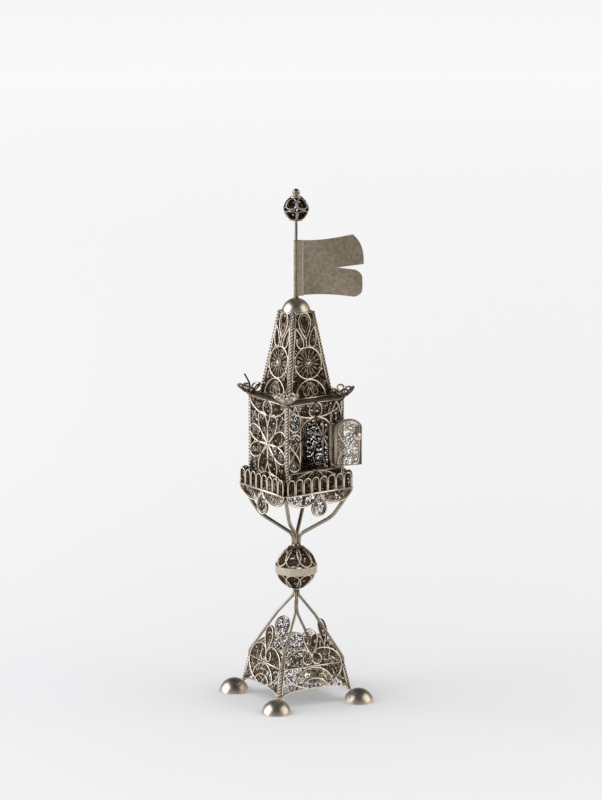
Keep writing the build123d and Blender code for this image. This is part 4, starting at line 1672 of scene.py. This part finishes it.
@dataclass(frozen=True)
class Crown:
    """Dome cap, flagstaff and finial."""

    dome_radius: float = 6.0
    dome_height: float = 5.2
    dome_wall: float = 0.5
    dome_sides: int = 64
    ball_radius: float = 5.4
    pole_radius: float = 2.5
    pole_sheet: float = 0.35
    pole_sides: int = 24
    petals: int = 6
    petal_width: float = 4.9
    petal_gap: float = 0.3
    petal_wire: float = 0.6
    petal_worn: float = 0.72
    depth: float = 1.6
    core_tip: float = 1.6
    core_short: float = 2.8
    core_width: float = 0.5
    core_wire: float = 0.5
    core_depth: float = 0.8
    core_worn: float = 0.15
    seed: int = 600
    bead_radius: float = 1.6
    bead_steps: int = 17
    bead_sides: int = 32

    def build(self, shop: Workshop) -> None:
        """Fits everything above the spire.

        Args:
            shop: fits each piece to the frame.
        """
        dome = WireMesh(CREASE)
        profile = dome_profile(self.dome_radius, self.dome_height, self.dome_wall)
        dome.lathe(profile, span("dome_cap")[0] * UP, UP, self.dome_sides)
        shop.fit(dome, "dome_cap", Slot.POLISHED)
        shop.keep("flagstaff", Slot.WIRE)
        Flag().build(shop)
        shop.fit(self.ball(), "finial_ball", Slot.FILIGREE)
        low, high = span("finial_bead")
        arc = np.radians(np.linspace(-90, 90, self.bead_steps))
        round_bead = np.column_stack((self.bead_radius * np.cos(arc), self.bead_radius * np.sin(arc)))
        bead = WireMesh()
        bead.lathe(round_bead, (0, 0, (low[2] + high[2]) / 2), UP, self.bead_sides)
        shop.fit(bead, "finial_bead", Slot.WIRE)

    def ball(self) -> WireMesh:
        """Works the finial's ball of petals, with a plate at each pole.

        Returns:
            Mesh of the ball.
        """
        low, high = span("finial_ball")
        centre = (low[2] + high[2]) / 2
        radius = self.ball_radius - self.depth / 2
        end = radius * math.acos(self.pole_radius / self.ball_radius)
        outer = Section.ribbon(self.petal_wire, self.depth, 0.0, self.petal_worn)
        inner = Section.ribbon(self.core_wire, self.depth * self.core_depth, 0.0, self.core_worn)
        mesh = WireMesh()
        for i in range(self.petals):
            for way in HALVES.values():
                face = BallFace(centre, radius, 360 * (i + 0.5) / self.petals, way)
                work = Openwork(face, self.seed + i)
                work.mesh = mesh
                petal = teardrop((0, end), end - self.petal_gap, self.petal_width, -90)
                core = (end - self.core_short, self.petal_width * self.core_width)
                work.wire(petal, outer, True)
                work.wire(teardrop((0, end - self.core_tip), *core, -90), inner, True)
        pole = (high[2] - low[2]) / 2
        edge, reach = pole - self.pole_sheet, self.pole_radius
        for way in HALVES.values():
            plate = [(0, pole), (reach, pole), (reach, edge), (0, edge)]
            mesh.lathe(plate, (0, 0, centre), way * UP, self.pole_sides)
        return mesh


@dataclass(frozen=True)
class Flag:
    """Swallow-tailed sheet, beaten a little uneven, with a hem folded round the staff."""

    turn: float = -33.5
    sheet: float = 0.4
    worn: float = 0.68
    hoist: float = 23.6
    length: float = 28.4
    peak: float = 26.0
    dip: float = 0.5
    notch: tuple[float, float] = (17.0, 12.0)
    gap: float = 2.8
    cut_back: float = 4.6
    cut_power: int = 3
    hollow: float = 0.8
    tail_reach: float = 27.9
    tail_turn: float = 2.8
    tail_power: int = 5
    hem: float = 2.9
    hem_radius: float = 1.02
    hem_worn: float = 0.55
    hem_sides: int = 24
    bore: float = 0.66
    lap_start: tuple[float, float] = (0.5, 0.8)
    lap_highlight_glint: float = 0.9
    lap_bead: float = 0.8
    lap_corners: int = 8
    wave: float = 0.3
    wave_along: float = 5.2
    wave_start: float = 0.8
    wave_up: float = 6.0
    wave_free: float = 8.0
    columns: int = 40
    rows: int = 14

    def build(self, shop: Workshop) -> None:
        """Fits the flag on its staff.

        Args:
            shop: fits each piece to the frame.
        """
        low = span("flag")[0][2] + self.dip
        along, across = spun((1, 0, 0), self.turn), spun((0, 1, 0), self.turn)
        mesh = WireMesh(CREASE, self.worn)
        for upper in (True, False):
            x, z = self.half(upper)
            ripple = np.sin(x / self.wave_along + self.wave_start) * np.sin(z / self.wave_up)
            lift = self.wave * (ripple * np.clip(x / self.wave_free, 0, 1))
            middle = x[..., None] * along + lift[..., None] * across + (z[..., None] + low) * UP
            mesh.sheet(middle, across, self.sheet)
        # The hem's laps are drawn brighter than the sheet, and their folded edges at full glint: painted
        # highlights along the hem.
        mesh.worn = self.lap_highlight_glint
        start, rise = (self.hem_radius * share for share in self.lap_start)
        bead = Section.round(self.sheet * self.lap_bead, self.lap_corners)
        for side in (-1.0, 1.0):
            fold = ((start, side * rise), (self.hem, side * self.sheet))
            ends = [[spun((x, y, 0), self.turn) + UP * (low + z) for x, y in fold] for z in (0.0, self.hoist)]
            lap = np.array(ends)
            mesh.sheet(lap, across, self.sheet)
            mesh.sweep(lap[:, 1], np.tile(side * across, (2, 1)), bead)
        mesh.worn = self.hem_worn
        outer, bore = self.hem_radius, self.bore
        tube = [(outer, 0), (outer, self.hoist), (bore, self.hoist), (bore, 0), (outer, 0)]
        mesh.lathe(tube, UP * low, UP, self.hem_sides)
        shop.fit(mesh, "flag", Slot.SHEET, "flag")

    def half(self, upper: bool) -> tuple[np.ndarray, np.ndarray]:
        """Lays a grid over the sheet above or below the notch.

        Args:
            upper: whether it is the half above the notch.

        Returns:
            Reach from the staff and height of each point of the grid.
        """
        shares = (np.linspace(0, 1, count) for count in (self.rows, self.columns))
        t, s = np.meshgrid(*shares, indexing="ij")
        reach, height = self.notch
        fly = self.length - self.cut_back
        seam = (self.bore + self.hem_radius) / 2
        if upper:
            x = seam + s * (self.length - self.cut_back * t ** self.cut_power - seam)
            inner = height + np.clip((x - reach) / (self.length - reach), 0, None) * self.gap / 2
            bow = self.hollow * np.sin(np.pi * np.clip(x / fly, 0, 1))
            outer = self.hoist + (self.peak - self.hoist) * (x / fly) - bow
        else:
            x = seam + s * (self.tail_reach - self.tail_turn * np.abs(2 * t - 1) ** self.tail_power - seam)
            inner = height - np.clip((x - reach) / (self.tail_reach - reach), 0, None) * self.gap / 2
            bow = self.hollow * np.sin(np.pi * np.clip(x / fly, 0, 1))
            outer = bow - self.dip * np.clip(x / fly, 0, 1)
        return x, inner + t * (outer - inner)


# Studio, in metres


def heading(azimuth: float, elevation: float) -> Vector:
    """Direction from the tower, with azimuth 0 in front of the door's wall."""
    a, e = math.radians(azimuth), math.radians(elevation)
    return Vector((math.sin(a) * math.cos(e), -math.cos(a) * math.cos(e), math.sin(e)))


@dataclass(frozen=True)
class Softbox:
    """Rectangular lamp that faces the tower."""

    name: str
    azimuth: float
    elevation: float
    distance: float
    width: float
    height: float
    power: float
    colour: str = "#ffffff"
    aim_height: float = 0.1

    def build(self) -> None:
        """Adds the lamp to the scene."""
        lamp = bpy.data.lights.new(self.name, "AREA")
        lamp.shape = "RECTANGLE"
        lamp.size, lamp.size_y = self.width, self.height
        lamp.energy = self.power
        lamp.color = rgb(self.colour)[:3]
        stand = bpy.data.objects.new(self.name, lamp)
        way = heading(self.azimuth, self.elevation)
        stand.location = way * self.distance + Vector((0, 0, self.aim_height))
        stand.rotation_euler = way.to_track_quat("Z", "Y").to_euler()
        bpy.context.scene.collection.objects.link(stand)


@dataclass(frozen=True)
class Studio:
    """White sweep, lamps and camera."""

    azimuth: float = -34.2
    distance: float = 1.8813
    height: float = 0.5312
    aim_right: float = 0.00205
    aim_height: float = 0.1295
    lens: float = 204.8
    far_clip: float = 50.0
    sweep: float = 8.0
    paper_span: tuple[float, float] = (0.0, 1.9)
    near_paper: str = "#b9babc"
    far_paper: str = "#d9d9da"
    glow_span: tuple[float, float] = (0.25, 1.0)
    near_glow: str = "#eeeae2"
    far_glow: str = "#695f53"
    glow_lean: float = 0.8
    sky: float = 1.3
    room_span: tuple[float, float] = (0.1, 0.7)
    wall: str = "#aaa398"
    ceiling: str = "#1e1b18"
    lamps: tuple[Softbox, ...] = (
        Softbox("left_softbox", -120.0, 26.0, 1.3, 1.4, 1.2, 14.0),
        Softbox("right_softbox", 48.0, 28.0, 1.3, 1.3, 1.1, 7.0, "#fff3e4"),
    )

    def build(self) -> None:
        """Adds the sweep, the room's light, the lamps and the camera."""
        self.lay_sweep()
        self.light_room()
        for lamp in self.lamps:
            lamp.build()
        self.set_camera()

    def lay_sweep(self) -> None:
        """Lays the white table, which shiny metal sees as a glow instead: a painted reflection of a room
        beyond the sweep, dimmed as that room would dim it.
        """
        mesh = bpy.data.meshes.new("sweep")
        s = self.sweep
        mesh.from_pydata([(-s, -s, 0), (s, -s, 0), (s, s, 0), (-s, s, 0)], [], [(0, 1, 2, 3)])
        floor = bpy.data.objects.new("sweep", mesh)
        bpy.context.scene.collection.objects.link(floor)
        mesh.materials.append(self.paper())

    def paper(self) -> bpy.types.Material:
        """Makes the sweep's paper.

        Returns:
            The material.
        """
        material = bpy.data.materials.new("matt_white_paper")
        material.use_nodes = True
        tree = material.node_tree
        tree.nodes.clear()
        place = add_node(tree, "ShaderNodeTexCoord").outputs["Object"]
        away = add_node(tree, "ShaderNodeVectorMath", {0: place}, operation="LENGTH").outputs["Value"]
        tone = self.ramp(tree, away, self.paper_span, (self.near_paper, self.far_paper))
        paper = add_node(tree, "ShaderNodeBsdfDiffuse", {"Color": tone})
        # The glow dims away from the tower and towards the camera's right: painted shadow in what shiny metal
        # sees of the table.
        a = math.radians(self.azimuth)
        right = add_node(tree, "ShaderNodeVectorMath", {0: place, 1: (math.cos(a), math.sin(a), 0.0)},
                         operation="DOT_PRODUCT").outputs["Value"]
        reach = add_node(tree, "ShaderNodeMath", {0: right, 1: self.glow_lean, 2: away},
                         operation="MULTIPLY_ADD")
        seen = self.ramp(tree, reach.outputs[0], self.glow_span, (self.near_glow, self.far_glow))
        glow = add_node(tree, "ShaderNodeEmission", {"Color": seen})
        mixed = self.by_gloss(tree, paper, glow)
        add_node(tree, "ShaderNodeOutputMaterial", {"Surface": mixed})
        return material

    def by_gloss(self, tree: bpy.types.NodeTree, plain: bpy.types.Node,
                 mirrored_in_metal: bpy.types.Node) -> bpy.types.NodeSocket:
        """Adds nodes that show shiny surfaces one shader and everything else another.

        Args:
            tree: node tree that takes them.
            plain: shader for everything else.
            mirrored_in_metal: shader that shiny surfaces see.

        Returns:
            Output of the mix.
        """
        glossy = add_node(tree, "ShaderNodeLightPath").outputs["Is Glossy Ray"]
        ends = {0: glossy, 1: plain.outputs[0], 2: mirrored_in_metal.outputs[0]}
        return add_node(tree, "ShaderNodeMixShader", ends).outputs[0]

    def ramp(self, tree: bpy.types.NodeTree, value: bpy.types.NodeSocket, over: tuple[float, float],
             ends: tuple[str, str]) -> bpy.types.NodeSocket:
        """Adds nodes that blend two colours as a value rises.

        Args:
            tree: node tree that takes them.
            value: output that gives the value.
            over: values at which the blend starts and ends.
            ends: first and last colour.

        Returns:
            Output of the blend.
        """
        limits = {"Value": value, "From Min": over[0], "From Max": over[1]}
        share = add_node(tree, "ShaderNodeMapRange", limits)
        colours = {"Fac": share.outputs[0], "Color1": rgb(ends[0]), "Color2": rgb(ends[1])}
        return add_node(tree, "ShaderNodeMixRGB", colours).outputs[0]

    def light_room(self) -> None:
        """Lights the room evenly; shiny metal sees a dim warm room instead."""
        world = bpy.data.worlds.new("room")
        world.use_nodes = True
        tree = world.node_tree
        tree.nodes.clear()
        even = add_node(tree, "ShaderNodeBackground", {"Color": rgb("#ffffff"), "Strength": self.sky})
        way = add_node(tree, "ShaderNodeTexCoord").outputs["Generated"]
        height = add_node(tree, "ShaderNodeSeparateXYZ", {"Vector": way}).outputs["Z"]
        tone = self.ramp(tree, height, self.room_span, (self.wall, self.ceiling))
        dim = add_node(tree, "ShaderNodeBackground", {"Color": tone})
        add_node(tree, "ShaderNodeOutputWorld", {"Surface": self.by_gloss(tree, even, dim)})
        bpy.context.scene.world = world

    def set_camera(self) -> None:
        """Stands the camera where the photograph was taken from."""
        data = bpy.data.cameras.new("camera")
        data.lens = self.lens
        data.clip_end = self.far_clip
        camera = bpy.data.objects.new("camera", data)
        a = math.radians(self.azimuth)
        camera.location = (math.sin(a) * self.distance, -math.cos(a) * self.distance, self.height)
        aim = Vector((math.cos(a) * self.aim_right, math.sin(a) * self.aim_right, self.aim_height))
        camera.rotation_euler = (aim - camera.location).to_track_quat("-Z", "Y").to_euler()
        bpy.context.scene.collection.objects.link(camera)
        bpy.context.scene.camera = camera


def main() -> None:
    """Builds every sub-assembly, then the studio."""
    logging.basicConfig(level=logging.INFO, format="%(message)s")
    shop = Workshop()
    for part in (Base(), Knop(), Brackets(), Gallery(), Box(), Roof(), Spire(), Crown()):
        part.build(shop)
    Studio().build()
    bpy.context.scene.view_settings.view_transform = "Standard"
    bpy.context.view_layer.update()


if __name__ == "__main__":
    main()
